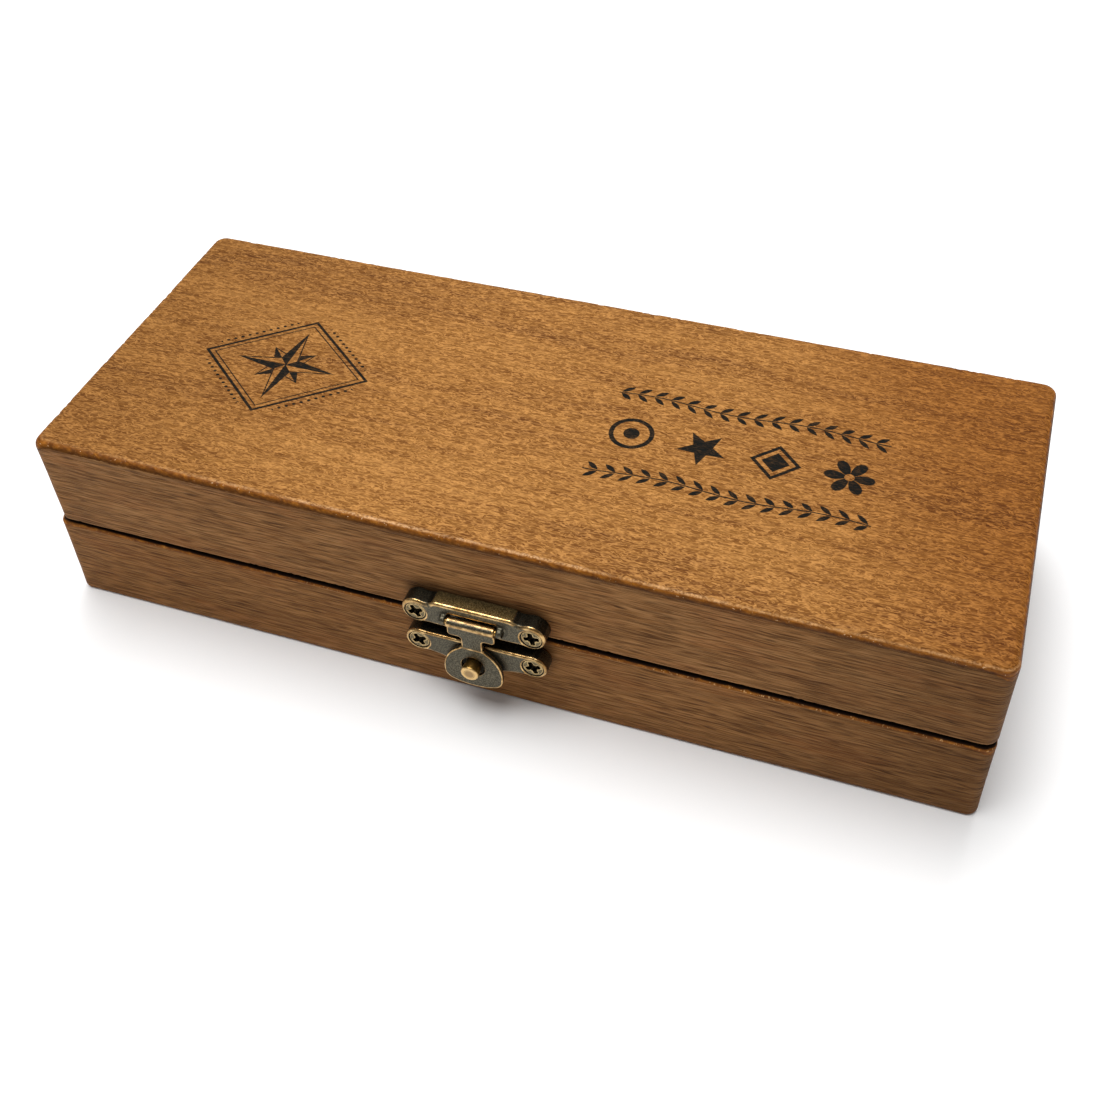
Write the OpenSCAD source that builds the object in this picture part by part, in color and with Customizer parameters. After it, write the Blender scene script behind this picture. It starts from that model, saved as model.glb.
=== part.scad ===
// Hinged wooden stamp box with an antique brass hasp latch.
// Frame: X along the front, Y towards the back, Z up; the origin is the
// centre of the underside. Millimetres.

/* [Box] */
// Outside length along the front
box_l = 190; // [180:1:205]
// Outside width from front face to back face
box_w = 77; // [72:1:85]
// Outside height, closed
box_h = 42; // [40:0.5:50]
// Thickness of the four walls of each half
wall_t = 7.1; // [6:0.1:8]
// Height of the base's rim
base_h = 20.3; // [19:0.1:22]
// Gap at the seam, held open by the hinge leaves
seam_gap = 0.9; // [0.9:0.05:1.2]
// Thickness of the board glued over the lid's walls
top_t = 2; // [1.8:0.1:3]
// Thickness of the bottom board in its rabbet
bottom_t = 2.5; // [2:0.1:3]
// Width of the rabbet that holds the bottom board
rabbet_w = 3.5; // [2:0.1:4]

/* [Edges] */
// Radius of the vertical corners in plan
corner_r = 2.8; // [2:0.1:4]
// Rounding of the lid's top edge
top_r = 1.6; // [1:0.1:1.8]
// Rounding of the two edges at the seam
seam_r = 0.6; // [0.4:0.05:0.8]
// Rounding of the bottom edge
foot_r = 0.9; // [0.5:0.1:1.5]

/* [Hinges] */
// Distance of each hinge from the middle of the back
hinge_x = 58; // [40:1:70]
// Length of a hinge
hinge_len = 18; // [14:1:24]
// Length of the middle knuckle
knuckle_len = 5.9; // [4:0.1:7]
// Outer radius of the knuckles
knuckle_r = 1.1; // [1:0.05:1.3]
// Radius of the hinge pin
hinge_pin_r = 0.55; // [0.5:0.05:0.7]
// Thickness of a leaf
leaf_t = 0.4; // [0.3:0.05:0.4]
// Width of a leaf from the pin
leaf_w = 6; // [5:0.1:6.2]
// Distance of the pin inside the back face
pin_inset = 0.65; // [0.65:0.05:0.8]

/* [Latch] */
// Place of the latch along the front
latch_x = -0.6; // [-20:0.1:20]
// Depth of the two plates from the wood to their faces
plate_d = 3.4; // [3:0.1:4]
// Spacing of the two screws of each plate
screw_spacing = 23.3; // [22:0.1:25]
// Height of the pivot above the underside
pivot_z = 24.1; // [23.8:0.1:24.4]
// Distance of the pivot from the front face
pivot_d = 4.1; // [4.1:0.1:4.4]
// Radius of the pivot pin
pivot_pin_r = 0.55; // [0.5:0.05:0.6]
// Outer radius of the tongue's rolled barrel
barrel_r = 1.05; // [1:0.05:1.1]
// Width of the tongue at the barrel
tongue_w = 9.6; // [9:0.1:10]
// Thickness of the tongue's sheet
tongue_t = 0.9; // [0.8:0.05:1]
// Kick of the pad away from the box, in degrees
pad_kick = 4; // [3:0.5:6]
// Radius of the hole in the pad
pad_hole_r = 2.4; // [2.3:0.1:2.6]
// Height of the post and of the hole
post_z = 13.5; // [13.2:0.1:13.8]
// Radius of the post's head
post_head_r = 1.8; // [1.6:0.1:1.9]
// Distance of the post's end from the front face
post_d = 7; // [6.5:0.1:7.5]

/* [Hidden] */
$fn = 64;
eps = 0.02;
lid_z = base_h + seam_gap;
pin_y = box_w/2 - pin_inset;
pin_z = base_h + seam_gap/2;
in_l = box_l - 2*wall_t;
in_w = box_w - 2*wall_t;
hinge_at = [-hinge_x, hinge_x];
nail_at = [-6, 6];
nail_y = pin_y - 3.9;
crease_z = 18.1;
groove_r = knuckle_r + 0.35;
wood = [0.45, 0.31, 0.19];
top_wood = [0.66, 0.41, 0.19];
antique = [0.33, 0.29, 0.20];
pale_brass = [0.62, 0.50, 0.28];

// ---- wood ----

// A rectangle from (-w/2, 0) to (w/2, h), rounded by rb below and rt above
module round_profile(w, h, rb, rt) {
    translate([-w/2, rb]) square([w, h - rb - rt]);
    translate([-w/2 + rb, 0]) square([w - 2*rb, rb + eps]);
    translate([-w/2 + rt, h - rt - eps]) square([w - 2*rt, rt + eps]);
    for (s = [-1, 1]) {
        translate([s*(w/2 - rb), rb]) circle(r = rb);
        translate([s*(w/2 - rt), h - rt]) circle(r = rt);
    }
}

// Plan of the box with its rounded corners
module plan() {
    square([box_l - 2*corner_r, box_w], center = true);
    square([box_l, box_w - 2*corner_r], center = true);
    for (sx = [-1, 1], sy = [-1, 1])
        translate([sx*(box_l/2 - corner_r), sy*(box_w/2 - corner_r)]) circle(r = corner_r);
}

// Outer form of one half, from z0 up by h, with every outside edge rounded
module envelope(z0, h, rb, rt) {
    translate([0, 0, z0]) intersection() {
        linear_extrude(height = h) plan();
        rotate([90, 0, 0]) linear_extrude(height = box_w + 2, center = true) round_profile(box_l, h, rb, rt);
        rotate([90, 0, 90]) linear_extrude(height = box_l + 2, center = true) round_profile(box_w, h, rb, rt);
    }
}

module base_form() { envelope(0, base_h, foot_r, seam_r); }
module lid_form() { envelope(lid_z, box_h - lid_z, seam_r, top_r); }

// Space for a front (s = -1) or back (s = 1) wall, full length
module long_slot(s, z0, z1) {
    translate([-box_l/2 - 1, s > 0 ? box_w/2 - wall_t : -box_w/2 - 1, z0])
        cube([box_l + 2, wall_t + 1, z1 - z0]);
}

// Space for a left (s = -1) or right (s = 1) end, between the long walls
module end_slot(s, z0, z1) {
    translate([s > 0 ? in_l/2 : -box_l/2 - 1, -in_w/2, z0])
        cube([wall_t + 1, in_w, z1 - z0]);
}

// The bottom board's space
module bottom_slot() {
    translate([-in_l/2 - rabbet_w, -in_w/2 - rabbet_w, -1])
        cube([in_l + 2*rabbet_w, in_w + 2*rabbet_w, bottom_t + 1]);
}

// Round pockets in the back walls for the hinges' knuckles
module hinge_pockets() {
    for (x = hinge_at)
        translate([x - hinge_len/2 - 0.3, pin_y, pin_z]) rotate([0, 90, 0])
            cylinder(r = groove_r, h = hinge_len + 0.6);
}

// Holes for the hinge nails, upwards (s = 1) or downwards (s = -1)
module nail_holes(s) {
    for (x = hinge_at, n = nail_at)
        translate([x + n, nail_y, pin_z]) rotate([s > 0 ? 0 : 180, 0, 0])
            cylinder(r = 0.52, h = 6.6);
}

// Pilot holes for the latch screws at height z
module pilot_holes(z) {
    for (s = [-1, 1])
        translate([latch_x + s*screw_spacing/2, -box_w/2 - 1, z]) rotate([-90, 0, 0])
            cylinder(r = 0.82, h = 6.2);
}

module base_front_wall() {
    color(wood) difference() {
        intersection() { base_form(); long_slot(-1, -1, base_h + 1); }
        bottom_slot();
        pilot_holes(15.45);
    }
}

module base_back_wall() {
    color(wood) difference() {
        intersection() { base_form(); long_slot(1, -1, base_h + 1); }
        bottom_slot();
        hinge_pockets();
        nail_holes(-1);
    }
}

module base_end(s) {
    color(wood) difference() {
        intersection() { base_form(); end_slot(s, -1, base_h + 1); }
        bottom_slot();
    }
}

module base_left_end() { base_end(-1); }
module base_right_end() { base_end(1); }

module base_bottom_board() {
    color(wood)
        translate([-in_l/2 - rabbet_w, -in_w/2 - rabbet_w, 0])
            cube([in_l + 2*rabbet_w, in_w + 2*rabbet_w, bottom_t]);
}

module lid_front_wall() {
    color(wood) difference() {
        intersection() { lid_form(); long_slot(-1, lid_z - 1, box_h - top_t); }
        pilot_holes(23.7);
    }
}

module lid_back_wall() {
    color(wood) difference() {
        intersection() { lid_form(); long_slot(1, lid_z - 1, box_h - top_t); }
        hinge_pockets();
        nail_holes(1);
    }
}

module lid_end(s) {
    color(wood)
        intersection() { lid_form(); end_slot(s, lid_z - 1, box_h - top_t); }
}

module lid_left_end() { lid_end(-1); }
module lid_right_end() { lid_end(1); }

module lid_top_board() {
    color(top_wood) intersection() {
        lid_form();
        translate([-box_l/2 - 1, -box_w/2 - 1, box_h - top_t]) cube([box_l + 2, box_w + 2, top_t + 1]);
    }
}

// ---- hinges ----

// The leaf on the base: two outer knuckles, flat on the base's rim
module base_leaf(x) {
    color(pale_brass) translate([x, pin_y, pin_z]) difference() {
        union() {
            difference() {
                translate([-hinge_len/2, -leaf_w, -seam_gap/2]) cube([hinge_len, leaf_w - 0.7, leaf_t]);
                translate([-knuckle_len/2 - 0.15, -knuckle_r - 0.3, -2]) cube([knuckle_len + 0.3, 4, 4]);
            }
            for (s = [-1, 1])
                translate([s*(hinge_len/4 + knuckle_len/4 + 0.075), 0, 0]) rotate([0, 90, 0])
                    cylinder(r = knuckle_r, h = hinge_len/2 - knuckle_len/2 - 0.15, center = true);
        }
        rotate([0, 90, 0]) cylinder(r = hinge_pin_r + 0.01, h = hinge_len + 2, center = true);
        for (n = nail_at) translate([n, -3.9, -seam_gap/2]) {
            translate([0, 0, -1]) cylinder(r = 0.52, h = 3);
            translate([0, 0, leaf_t - 0.3]) cylinder(r1 = 0.52, r2 = 0.97, h = 0.3);
            translate([0, 0, leaf_t]) cylinder(r = 0.97, h = 0.5);
        }
    }
}

// The leaf on the lid: the middle knuckle, flat on the lid's rim
module lid_leaf(x) {
    color(pale_brass) translate([x, pin_y, pin_z]) difference() {
        union() {
            difference() {
                translate([-hinge_len/2, -leaf_w, seam_gap/2 - leaf_t]) cube([hinge_len, leaf_w - 0.7, leaf_t]);
                for (s = [-1, 1])
                    translate([s > 0 ? knuckle_len/2 : -hinge_len/2 - 1, -knuckle_r - 0.3, -2])
                        cube([hinge_len/2 - knuckle_len/2 + 1, 4, 4]);
            }
            rotate([0, 90, 0]) cylinder(r = knuckle_r, h = knuckle_len, center = true);
        }
        rotate([0, 90, 0]) cylinder(r = hinge_pin_r + 0.05, h = hinge_len + 2, center = true);
        for (n = nail_at) translate([n, -3.9, seam_gap/2]) rotate([180, 0, 0]) {
            translate([0, 0, -1]) cylinder(r = 0.52, h = 3);
            translate([0, 0, leaf_t - 0.3]) cylinder(r1 = 0.52, r2 = 0.97, h = 0.3);
            translate([0, 0, leaf_t]) cylinder(r = 0.97, h = 0.5);
        }
    }
}

module hinge_pin(x) {
    color(antique) translate([x, pin_y, pin_z]) rotate([0, 90, 0])
        cylinder(r = hinge_pin_r, h = hinge_len, center = true);
}

module left_hinge_base_leaf() { base_leaf(-hinge_x); }
module left_hinge_lid_leaf() { lid_leaf(-hinge_x); }
module left_hinge_pin() { hinge_pin(-hinge_x); }
module right_hinge_base_leaf() { base_leaf(hinge_x); }
module right_hinge_lid_leaf() { lid_leaf(hinge_x); }
module right_hinge_pin() { hinge_pin(hinge_x); }

// A countersunk nail whose head lies flush in a leaf
module nail() {
    translate([0, 0, leaf_t - 0.3]) cylinder(r1 = 0.5, r2 = 0.95, h = 0.3);
    translate([0, 0, -5.5]) cylinder(r = 0.5, h = 5.5 + leaf_t - 0.3 + eps);
    translate([0, 0, -6.1]) cylinder(r1 = 0.12, r2 = 0.5, h = 0.6);
}

module hinge_base_nails() {
    color(pale_brass) for (x = hinge_at, n = nail_at)
        translate([x + n, nail_y, base_h]) nail();
}

module hinge_lid_nails() {
    color(pale_brass) for (x = hinge_at, n = nail_at)
        translate([x + n, nail_y, lid_z]) rotate([180, 0, 0]) nail();
}

// ---- latch ----

// Stands a drawing (across, up) on the front face, growing away from the box
module on_front() {
    translate([latch_x, -box_w/2, 0]) rotate([90, 0, 0]) children();
}

// Face of the plate on the lid: a raised middle and two round ears
module lid_plate_outline() {
    translate([-8.8, 21.3]) square([17.6, 6.1]);
    translate([-11.5, 21.3]) square([23, 5.4]);
    for (s = [-1, 1]) translate([s*11.5, 24]) circle(r = 3);
}

// Face of the keeper plate: a bar, two round ears and a lobe for the post
module keeper_outline() {
    translate([-11.6, 13]) square([23.2, 5.2]);
    for (s = [-1, 1]) translate([s*11.75, 15.5]) circle(r = 2.7);
    translate([0, post_z]) circle(r = 3.7);
    polygon([[-9, 13.4], [-2.9, 11.2], [2.9, 11.2], [9, 13.4]]);
}

// Countersunk through hole for a plate's screw
module screw_hole(x, z) {
    translate([x, z, -1]) cylinder(r = 1, h = plate_d + 2);
    translate([x, z, plate_d - 1.3]) cylinder(r1 = 1, r2 = 2.3, h = 1.31);
}

module latch_lid_plate() {
    color(antique) on_front() difference() {
        union() {
            linear_extrude(height = plate_d) lid_plate_outline();
            for (s = [-1, 1])
                translate([s*(tongue_w/2 + 0.95), pivot_z, pivot_d]) rotate([0, 90, 0])
                    cylinder(r = 1.25, h = 1.5, center = true);
        }
        translate([-tongue_w/2 - 0.2, 20, 2.5]) cube([tongue_w + 0.4, 5.4, 2]);
        translate([0, pivot_z, pivot_d]) rotate([0, 90, 0])
            cylinder(r = pivot_pin_r + 0.01, h = tongue_w + 6, center = true);
        for (s = [-1, 1]) {
            screw_hole(s*screw_spacing/2, 23.7);
            translate([s*7.5 - 1.4, 22.4, -1]) cube([2.8, 3.8, 3.2]);
        }
    }
}

module latch_pivot_pin() {
    color(pale_brass) on_front()
        translate([0, pivot_z, pivot_d]) rotate([0, 90, 0])
            cylinder(r = pivot_pin_r, h = tongue_w + 3.4, center = true);
}

// Outline of the pad: two side arcs and a flatter bottom arc
module pad_outline() {
    difference() {
        intersection() {
            translate([-0.725, 11.9]) circle(r = 6.77);
            translate([0.725, 11.9]) circle(r = 6.77);
            translate([0, 21.47]) circle(r = 13.2);
            translate([-8, 0]) square([16, crease_z + 0.02]);
        }
        translate([0, post_z]) circle(r = pad_hole_r);
    }
}

module latch_tongue() {
    face = pivot_d + 0.5;
    color(antique) on_front() difference() {
        union() {
            translate([0, pivot_z, pivot_d]) rotate([0, 90, 0])
                cylinder(r = barrel_r, h = tongue_w, center = true);
            translate([0, 0, face - tongue_t]) linear_extrude(height = tongue_t) {
                translate([-tongue_w/2, 21.8]) square([tongue_w, pivot_z - 0.8 - 21.8]);
                translate([-tongue_w/2 + 0.8, 21]) square([tongue_w - 1.6, 1]);
                for (s = [-1, 1]) translate([s*(tongue_w/2 - 0.8), 21.8]) circle(r = 0.8);
                translate([-2.1, crease_z - 0.3]) square([4.2, 4]);
            }
            translate([0, crease_z, face - tongue_t]) rotate([-pad_kick, 0, 0])
                translate([0, -crease_z, 0]) linear_extrude(height = tongue_t) pad_outline();
        }
        translate([0, pivot_z, pivot_d]) rotate([0, 90, 0])
            cylinder(r = pivot_pin_r + 0.06, h = tongue_w + 2, center = true);
    }
}

// Cross-recessed countersunk screw, its head's face a little proud
module plate_screw(x, z) {
    translate([x, z, plate_d]) difference() {
        union() {
            translate([0, 0, -1.15]) cylinder(r1 = 0.95, r2 = 2.12, h = 1.17);
            translate([0, 0, 0.02]) cylinder(r1 = 2.12, r2 = 1.7, h = 0.2);
            translate([0, 0, -plate_d - 4.4]) cylinder(r = 0.8, h = plate_d + 4.4 - 1);
            translate([0, 0, -plate_d - 5]) cylinder(r1 = 0.15, r2 = 0.8, h = 0.6 + eps);
        }
        for (a = [0, 90]) rotate([0, 0, a + 20]) translate([-1.35, -0.3, -0.75]) cube([2.7, 0.6, 2]);
    }
}

module latch_lid_screws() {
    color(pale_brass) on_front() for (s = [-1, 1]) plate_screw(s*screw_spacing/2, 23.7);
}

module latch_keeper_plate() {
    color(antique) on_front() difference() {
        linear_extrude(height = plate_d) keeper_outline();
        translate([0, post_z, -1]) cylinder(r = 1.12, h = plate_d + 2);
        for (s = [-1, 1]) {
            screw_hole(s*screw_spacing/2, 15.45);
            translate([s*6.6 - 2, 14, -1]) cube([4, 3.2, 3.2]);
        }
    }
}

// Riveted post with a mushroom head
module latch_keeper_post() {
    color(pale_brass) on_front() translate([0, post_z, 0]) rotate_extrude() polygon([
        [0, 0.1], [1.1, 0.1], [1.1, plate_d], [1.3, plate_d], [1.3, 4.9],
        [post_head_r, 5.4], [post_head_r, post_d - 0.5], [post_head_r - 0.15, post_d - 0.18],
        [post_head_r - 0.45, post_d], [0, post_d]
    ]);
}

module latch_keeper_screws() {
    color(pale_brass) on_front() for (s = [-1, 1]) plate_screw(s*screw_spacing/2, 15.45);
}

base_front_wall();
base_back_wall();
base_left_end();
base_right_end();
base_bottom_board();
lid_front_wall();
lid_back_wall();
lid_left_end();
lid_right_end();
lid_top_board();
left_hinge_base_leaf();
left_hinge_lid_leaf();
left_hinge_pin();
right_hinge_base_leaf();
right_hinge_lid_leaf();
right_hinge_pin();
hinge_base_nails();
hinge_lid_nails();
latch_lid_plate();
latch_pivot_pin();
latch_tongue();
latch_lid_screws();
latch_keeper_plate();
latch_keeper_post();
latch_keeper_screws();
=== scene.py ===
import bpy
import math
import numpy as np
from mathutils import Matrix, Vector


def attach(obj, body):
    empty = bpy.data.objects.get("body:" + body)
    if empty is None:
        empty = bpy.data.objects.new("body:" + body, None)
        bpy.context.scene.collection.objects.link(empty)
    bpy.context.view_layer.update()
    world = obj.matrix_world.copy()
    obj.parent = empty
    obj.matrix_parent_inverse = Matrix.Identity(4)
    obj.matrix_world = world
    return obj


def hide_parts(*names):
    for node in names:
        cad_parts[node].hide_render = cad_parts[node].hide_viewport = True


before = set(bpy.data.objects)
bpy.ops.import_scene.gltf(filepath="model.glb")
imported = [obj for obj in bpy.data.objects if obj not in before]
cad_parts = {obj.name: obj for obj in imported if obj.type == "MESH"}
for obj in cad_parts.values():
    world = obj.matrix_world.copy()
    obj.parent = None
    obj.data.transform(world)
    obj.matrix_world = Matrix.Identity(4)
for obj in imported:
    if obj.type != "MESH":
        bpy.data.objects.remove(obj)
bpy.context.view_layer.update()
rng = np.random.default_rng(7)

# ------------------------------------------------------------------ sizes, mm
L, W, H = 190.0, 77.0, 42.0
WALL = 7.1
BASE_H, LID_Z = 20.3, 21.2
TOP_Z = 40.0
CORNER = 2.8
PIN_Y, PIN_Z = 37.85, 20.75
HINGES = (-58.0, 58.0)
LATCH_X = -0.6
FACE_D = 3.4
PIVOT_Z, PIVOT_D = 24.1, 4.1
CREASE = 18.1
POST_Z = 13.5
SCREW_U = 11.65


# ------------------------------------------------------------------ noise in Python
def _hash(ix, seed):
    v = np.sin(ix * 127.1 + seed * 311.7) * 43758.5453
    return v - np.floor(v)


def noise1(x, seed=0.0):
    """Smooth value noise of one variable, about -1 to 1."""
    i = np.floor(x)
    f = x - i
    f = f * f * (3 - 2 * f)
    return (_hash(i, seed) * (1 - f) + _hash(i + 1, seed) * f) * 2 - 1


def chips(s, seed):
    """Sparse small chips along an edge, 0 to 1."""
    a = noise1(s / 0.9, seed) * 0.6 + noise1(s / 0.45, seed + 3) * 0.4
    b = noise1(s / 7.0, seed + 9)
    return np.clip((a - 0.35 + 0.25 * b) / 0.35, 0, 1)


# ------------------------------------------------------------------ mesh helpers
def new_object(name, verts, faces, smooth=True, flat_faces=()):
    me = bpy.data.meshes.new(name)
    me.from_pydata([tuple(v) for v in np.asarray(verts, float) * 0.001], [], faces)
    me.update()
    if smooth:
        flags = np.ones(len(me.polygons), bool)
        for f in flat_faces:
            flags[f] = False
        me.polygons.foreach_set("use_smooth", flags)
    ob = bpy.data.objects.new(name, me)
    bpy.context.scene.collection.objects.link(ob)
    return ob


def point_attribute(ob, name, values):
    at = ob.data.attributes.new(name, "FLOAT", "POINT")
    at.data.foreach_set("value", np.asarray(values, np.float32))


# ------------------------------------------------------------------ wooden boards
def rounded_path(corners, radii, ds):
    """Closed counter-clockwise path with rounded corners: points, inward normals, arc length, how far into a corner (0 to 1)."""
    n = len(corners)
    c = [np.array(p, float) for p in corners]
    P, N, K = [], [], []
    for i in range(n):
        a, b, d = c[i - 1], c[i], c[(i + 1) % n]
        u = (b - a) / np.linalg.norm(b - a)
        v = (d - b) / np.linalg.norm(d - b)
        turn = math.atan2(u[0] * v[1] - u[1] * v[0], u @ v)
        r = radii[i]
        t = r * math.tan(turn / 2)
        start, end = b - u * t, b + v * t
        nu, nv = np.array([-u[1], u[0]]), np.array([-v[1], v[0]])
        centre = start + nu * r
        m = max(5, int(abs(turn) * r / (ds * 0.7)))
        for k in range(m + 1):
            f = k / m
            ang = math.atan2(-nu[1], -nu[0]) + turn * f
            out = np.array([math.cos(ang), math.sin(ang)])
            P.append(centre + out * r)
            N.append(-out)
            K.append(math.sin(math.pi * f))
        e0, e1 = end, None
        w = (c[(i + 2) % n] - d) / np.linalg.norm(c[(i + 2) % n] - d)
        turn2 = math.atan2(v[0] * w[1] - v[1] * w[0], v @ w)
        t2 = radii[(i + 1) % n] * math.tan(turn2 / 2)
        e1 = d - v * t2
        length = np.linalg.norm(e1 - e0)
        m = max(1, int(round(length / ds)))
        for k in range(1, m):
            P.append(e0 + (e1 - e0) * k / m)
            N.append(nv)
            K.append(0.0)
    P, N, K = np.array(P), np.array(N), np.array(K)
    step = np.linalg.norm(np.roll(P, -1, 0) - P, axis=1)
    s = np.r_[0, np.cumsum(step)[:-1]]
    return P, N, s, K


def loft(name, P, N, K, inset, z, edge):
    """Closed solid from rings: inset, z and edge have one row for each ring, from the bottom up."""
    rings, n = inset.shape
    X = P[None, :, :] + N[None, :, :] * inset[:, :, None]
    V = np.concatenate([X.reshape(-1, 2), z.reshape(-1, 1)], axis=1)
    faces = []
    for r in range(rings - 1):
        a, b = r * n, (r + 1) * n
        for i in range(n):
            j = (i + 1) % n
            faces.append((a + i, a + j, b + j, b + i))
    faces.append(tuple(range(n - 1, -1, -1)))
    faces.append(tuple((rings - 1) * n + i for i in range(n)))
    ob = new_object(name, V, faces, flat_faces=(len(faces) - 1, len(faces) - 2))
    point_attribute(ob, "edge", edge.reshape(-1))
    return ob


def board(name, corners, radii, z0, z1, rb, rt, ds=0.6, seed=1.0, chip_b=0.0, chip_t=0.0, outer=None, mids=7, shape=None, groove=()):
    """A board standing on its plan. rb and rt are functions of the plan points that give the rounding of the lower and upper edges."""
    P, N, s, K = rounded_path(corners, radii, ds)
    out = np.ones(len(P)) if outer is None else outer(P)
    kb, kt = 7, 9
    rbv = rb(P) * (1 + 0.12 * noise1(s / 11, seed) * out)
    rtv = rt(P) * (1 + 0.05 * noise1(s / 13, seed + 5) * out + 0.03 * noise1(s / 2.3, seed + 6) * out)
    cb = chip_b * chips(s, seed + 20) * out
    ct = chip_t * chips(s, seed + 40) * out
    rows_i, rows_z, rows_e = [], [], []
    for k in range(kb):
        f = math.pi / 2 * (1 - k / (kb - 1))
        push = math.sin(2 * f) * cb
        rows_i.append(rbv * (1 - math.cos(f)) + push * 0.8)
        rows_z.append(z0 + rbv * (1 - math.sin(f)) + push * 0.5)
        rows_e.append(np.full(len(P), min(1, f / 0.5)) * out + 0.0 * s)
    lowz, highz = z0 + rbv, z1 - rtv
    for k in range(1, mids):
        f = k / mids
        zz = lowz * (1 - f) + highz * f
        rows_i.append(0.03 * (1 + noise1(s / 17 + k * 3.1, seed + k)) * out)
        rows_z.append(zz)
        rows_e.append(np.zeros(len(P)))
    for k in range(kt):
        f = math.pi / 2 * k / (kt - 1)
        push = math.sin(2 * f) * ct
        wob = 0.03 * noise1(s / 1.3 + k * 7.7, seed + 60 + k) * out * math.sin(2 * f) * (1 if chip_t else 0)
        rows_i.append(rtv * (1 - math.cos(f)) + push * 0.8 + np.abs(wob))
        rows_z.append(z1 - rtv * (1 - math.sin(f)) - push * 0.5 - np.abs(wob) * 0.5)
        rows_e.append(np.full(len(P), min(1, f / 0.35)) * out)
    I, Z, E = np.array(rows_i), np.array(rows_z), np.array(rows_e)
    if shape is not None:
        shape(P, I, Z, E, kb, kt, mids)
    return loft(name, P, N, K, I, Z, E)


x1, y1 = L / 2, W / 2
xi, yi = x1 - WALL, y1 - WALL
SMALL = 0.12


def wall_outer(sign):
    return lambda P: (np.abs(P[:, 1] - sign * yi) > 0.35).astype(float)


def edge_radius(outer, r_out, r_in):
    return lambda P: np.where(outer(P) > 0.5, r_out, r_in)


def rabbet(axis, sign, reach, limit):
    """Steps the lower inside of a wall back for the bottom board."""
    inner = (yi if axis == 1 else xi) * sign

    def shape(P, I, Z, E, kb, kt, mids):
        at = (np.abs(P[:, axis] - inner) < 0.03) & (np.abs(P[:, 1 - axis]) < limit)
        for k in range(kb):
            Z[k][at] = 0.02 + 2.5 * min(1, k / (kb - 2))
            I[k][at] = -0.0 if k >= kb - 1 else reach
        Z[kb - 1][at] = 2.52
        I[kb - 1][at] = 0.0
        Z[kb - 2][at] = 2.5
        # the ends of the rabbet stay above the bottom board's lower face
        near = (sign * P[:, axis] < sign * inner + reach + 0.1) & (np.abs(P[:, 1 - axis]) < limit + 0.8)
        for k in range(kb):
            Z[k][near] = np.maximum(Z[k][near], 0.06 + 0.002 * k)
    return shape


def hinge_groove(up, then=None):
    """Cuts the round pockets of the hinges in a back wall's edge. up is 1 for the base's upper edge, -1 for the lid's lower edge."""
    def shape(P, I, Z, E, kb, kt, mids):
        if then:
            then(P, I, Z, E, kb, kt, mids)
        back = P[:, 1] > y1 - 0.02
        near = np.zeros(len(P), bool)
        for h in HINGES:
            near |= np.abs(P[:, 0] - h) < 9.35
        at = back & near
        r = 1.45
        a0 = math.atan2(-math.sqrt(r * r - 0.65 ** 2), 0.65)
        a1 = math.atan2(-0.45, -math.sqrt(r * r - 0.45 ** 2))
        rows = range(len(I) - kt, len(I)) if up > 0 else range(kb - 1, -1, -1)
        rows = list(rows)
        for n, k in enumerate(rows):
            f = n / (len(rows) - 1)
            a = a0 + (a1 - a0) * f
            y = PIN_Y + r * math.cos(a)
            dz = r * math.sin(a)
            I[k][at] = y1 - y
            Z[k][at] = PIN_Z + dz * up
            E[k][at] = 0.0
        mid_rows = range(kb, kb + mids - 1)
        lo, hi = (Z[kb - 1], Z[rows[0]]) if up > 0 else (Z[rows[0]], Z[len(I) - kt])
        for n, k in enumerate(mid_rows):
            f = (n + 1) / mids
            Z[k][at] = lo[at] * (1 - f) + hi[at] * f
    return shape


def long_wall(name, sign, z0, z1, r_low, r_high, seed, base):
    outer = wall_outer(sign)
    pts = [(-x1, -y1), (x1, -y1), (x1, -yi), (-x1, -yi)] if sign < 0 else [(-x1, yi), (x1, yi), (x1, y1), (-x1, y1)]
    cr = 2.3 if base else CORNER
    rad = [cr, cr, SMALL, SMALL] if sign < 0 else [SMALL, SMALL, cr, cr]
    shape = rabbet(1, sign, 3.5, xi + 3.5) if base else None
    if sign > 0:
        shape = hinge_groove(1 if base else -1, shape)

    def clear(P):
        """The back edges that meet when the lid is fully open are rounded a little more."""
        return 0.12 * np.clip((sign * P[:, 1] - (y1 - CORNER)) / CORNER, 0, 1) if sign > 0 else 0.0
    if base:
        rb, rt = edge_radius(outer, r_low, 0.1), lambda P: np.where(outer(P) > 0.5, r_high + clear(P), 0.2)
        cb, ct = 0.06, 0.16 if sign < 0 else 0.0
    else:
        rb, rt = lambda P: np.where(outer(P) > 0.5, r_low + clear(P), 0.2), edge_radius(outer, r_high, 0.04)
        cb, ct = 0.12 if sign < 0 else 0.0, 0.0
    return board(name, pts, rad, z0, z1, rb, rt, seed=seed, chip_b=cb, chip_t=ct, outer=outer, shape=shape)


def end_wall(name, sign, z0, z1, r_low, r_high, seed, base):
    outer = lambda P: (np.abs(P[:, 0] - sign * x1) < 0.02).astype(float)
    g = 0.03
    pts = [(-x1, -yi + g), (-xi, -yi + g), (-xi, yi - g), (-x1, yi - g)] if sign < 0 else [(xi, -yi + g), (x1, -yi + g), (x1, yi - g), (xi, yi - g)]
    rad = [SMALL] * 4
    shape = rabbet(0, sign, 3.5, 99) if base else None
    if base:
        rb, rt = edge_radius(outer, r_low, 0.1), edge_radius(outer, r_high, 0.2)
    else:
        rb, rt = edge_radius(outer, r_low, 0.2), edge_radius(outer, r_high, 0.04)
    return board(name, pts, rad, z0, z1, rb, rt, seed=seed, chip_b=0.05, chip_t=0.1 if base else 0.0, outer=outer, shape=shape)


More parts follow.
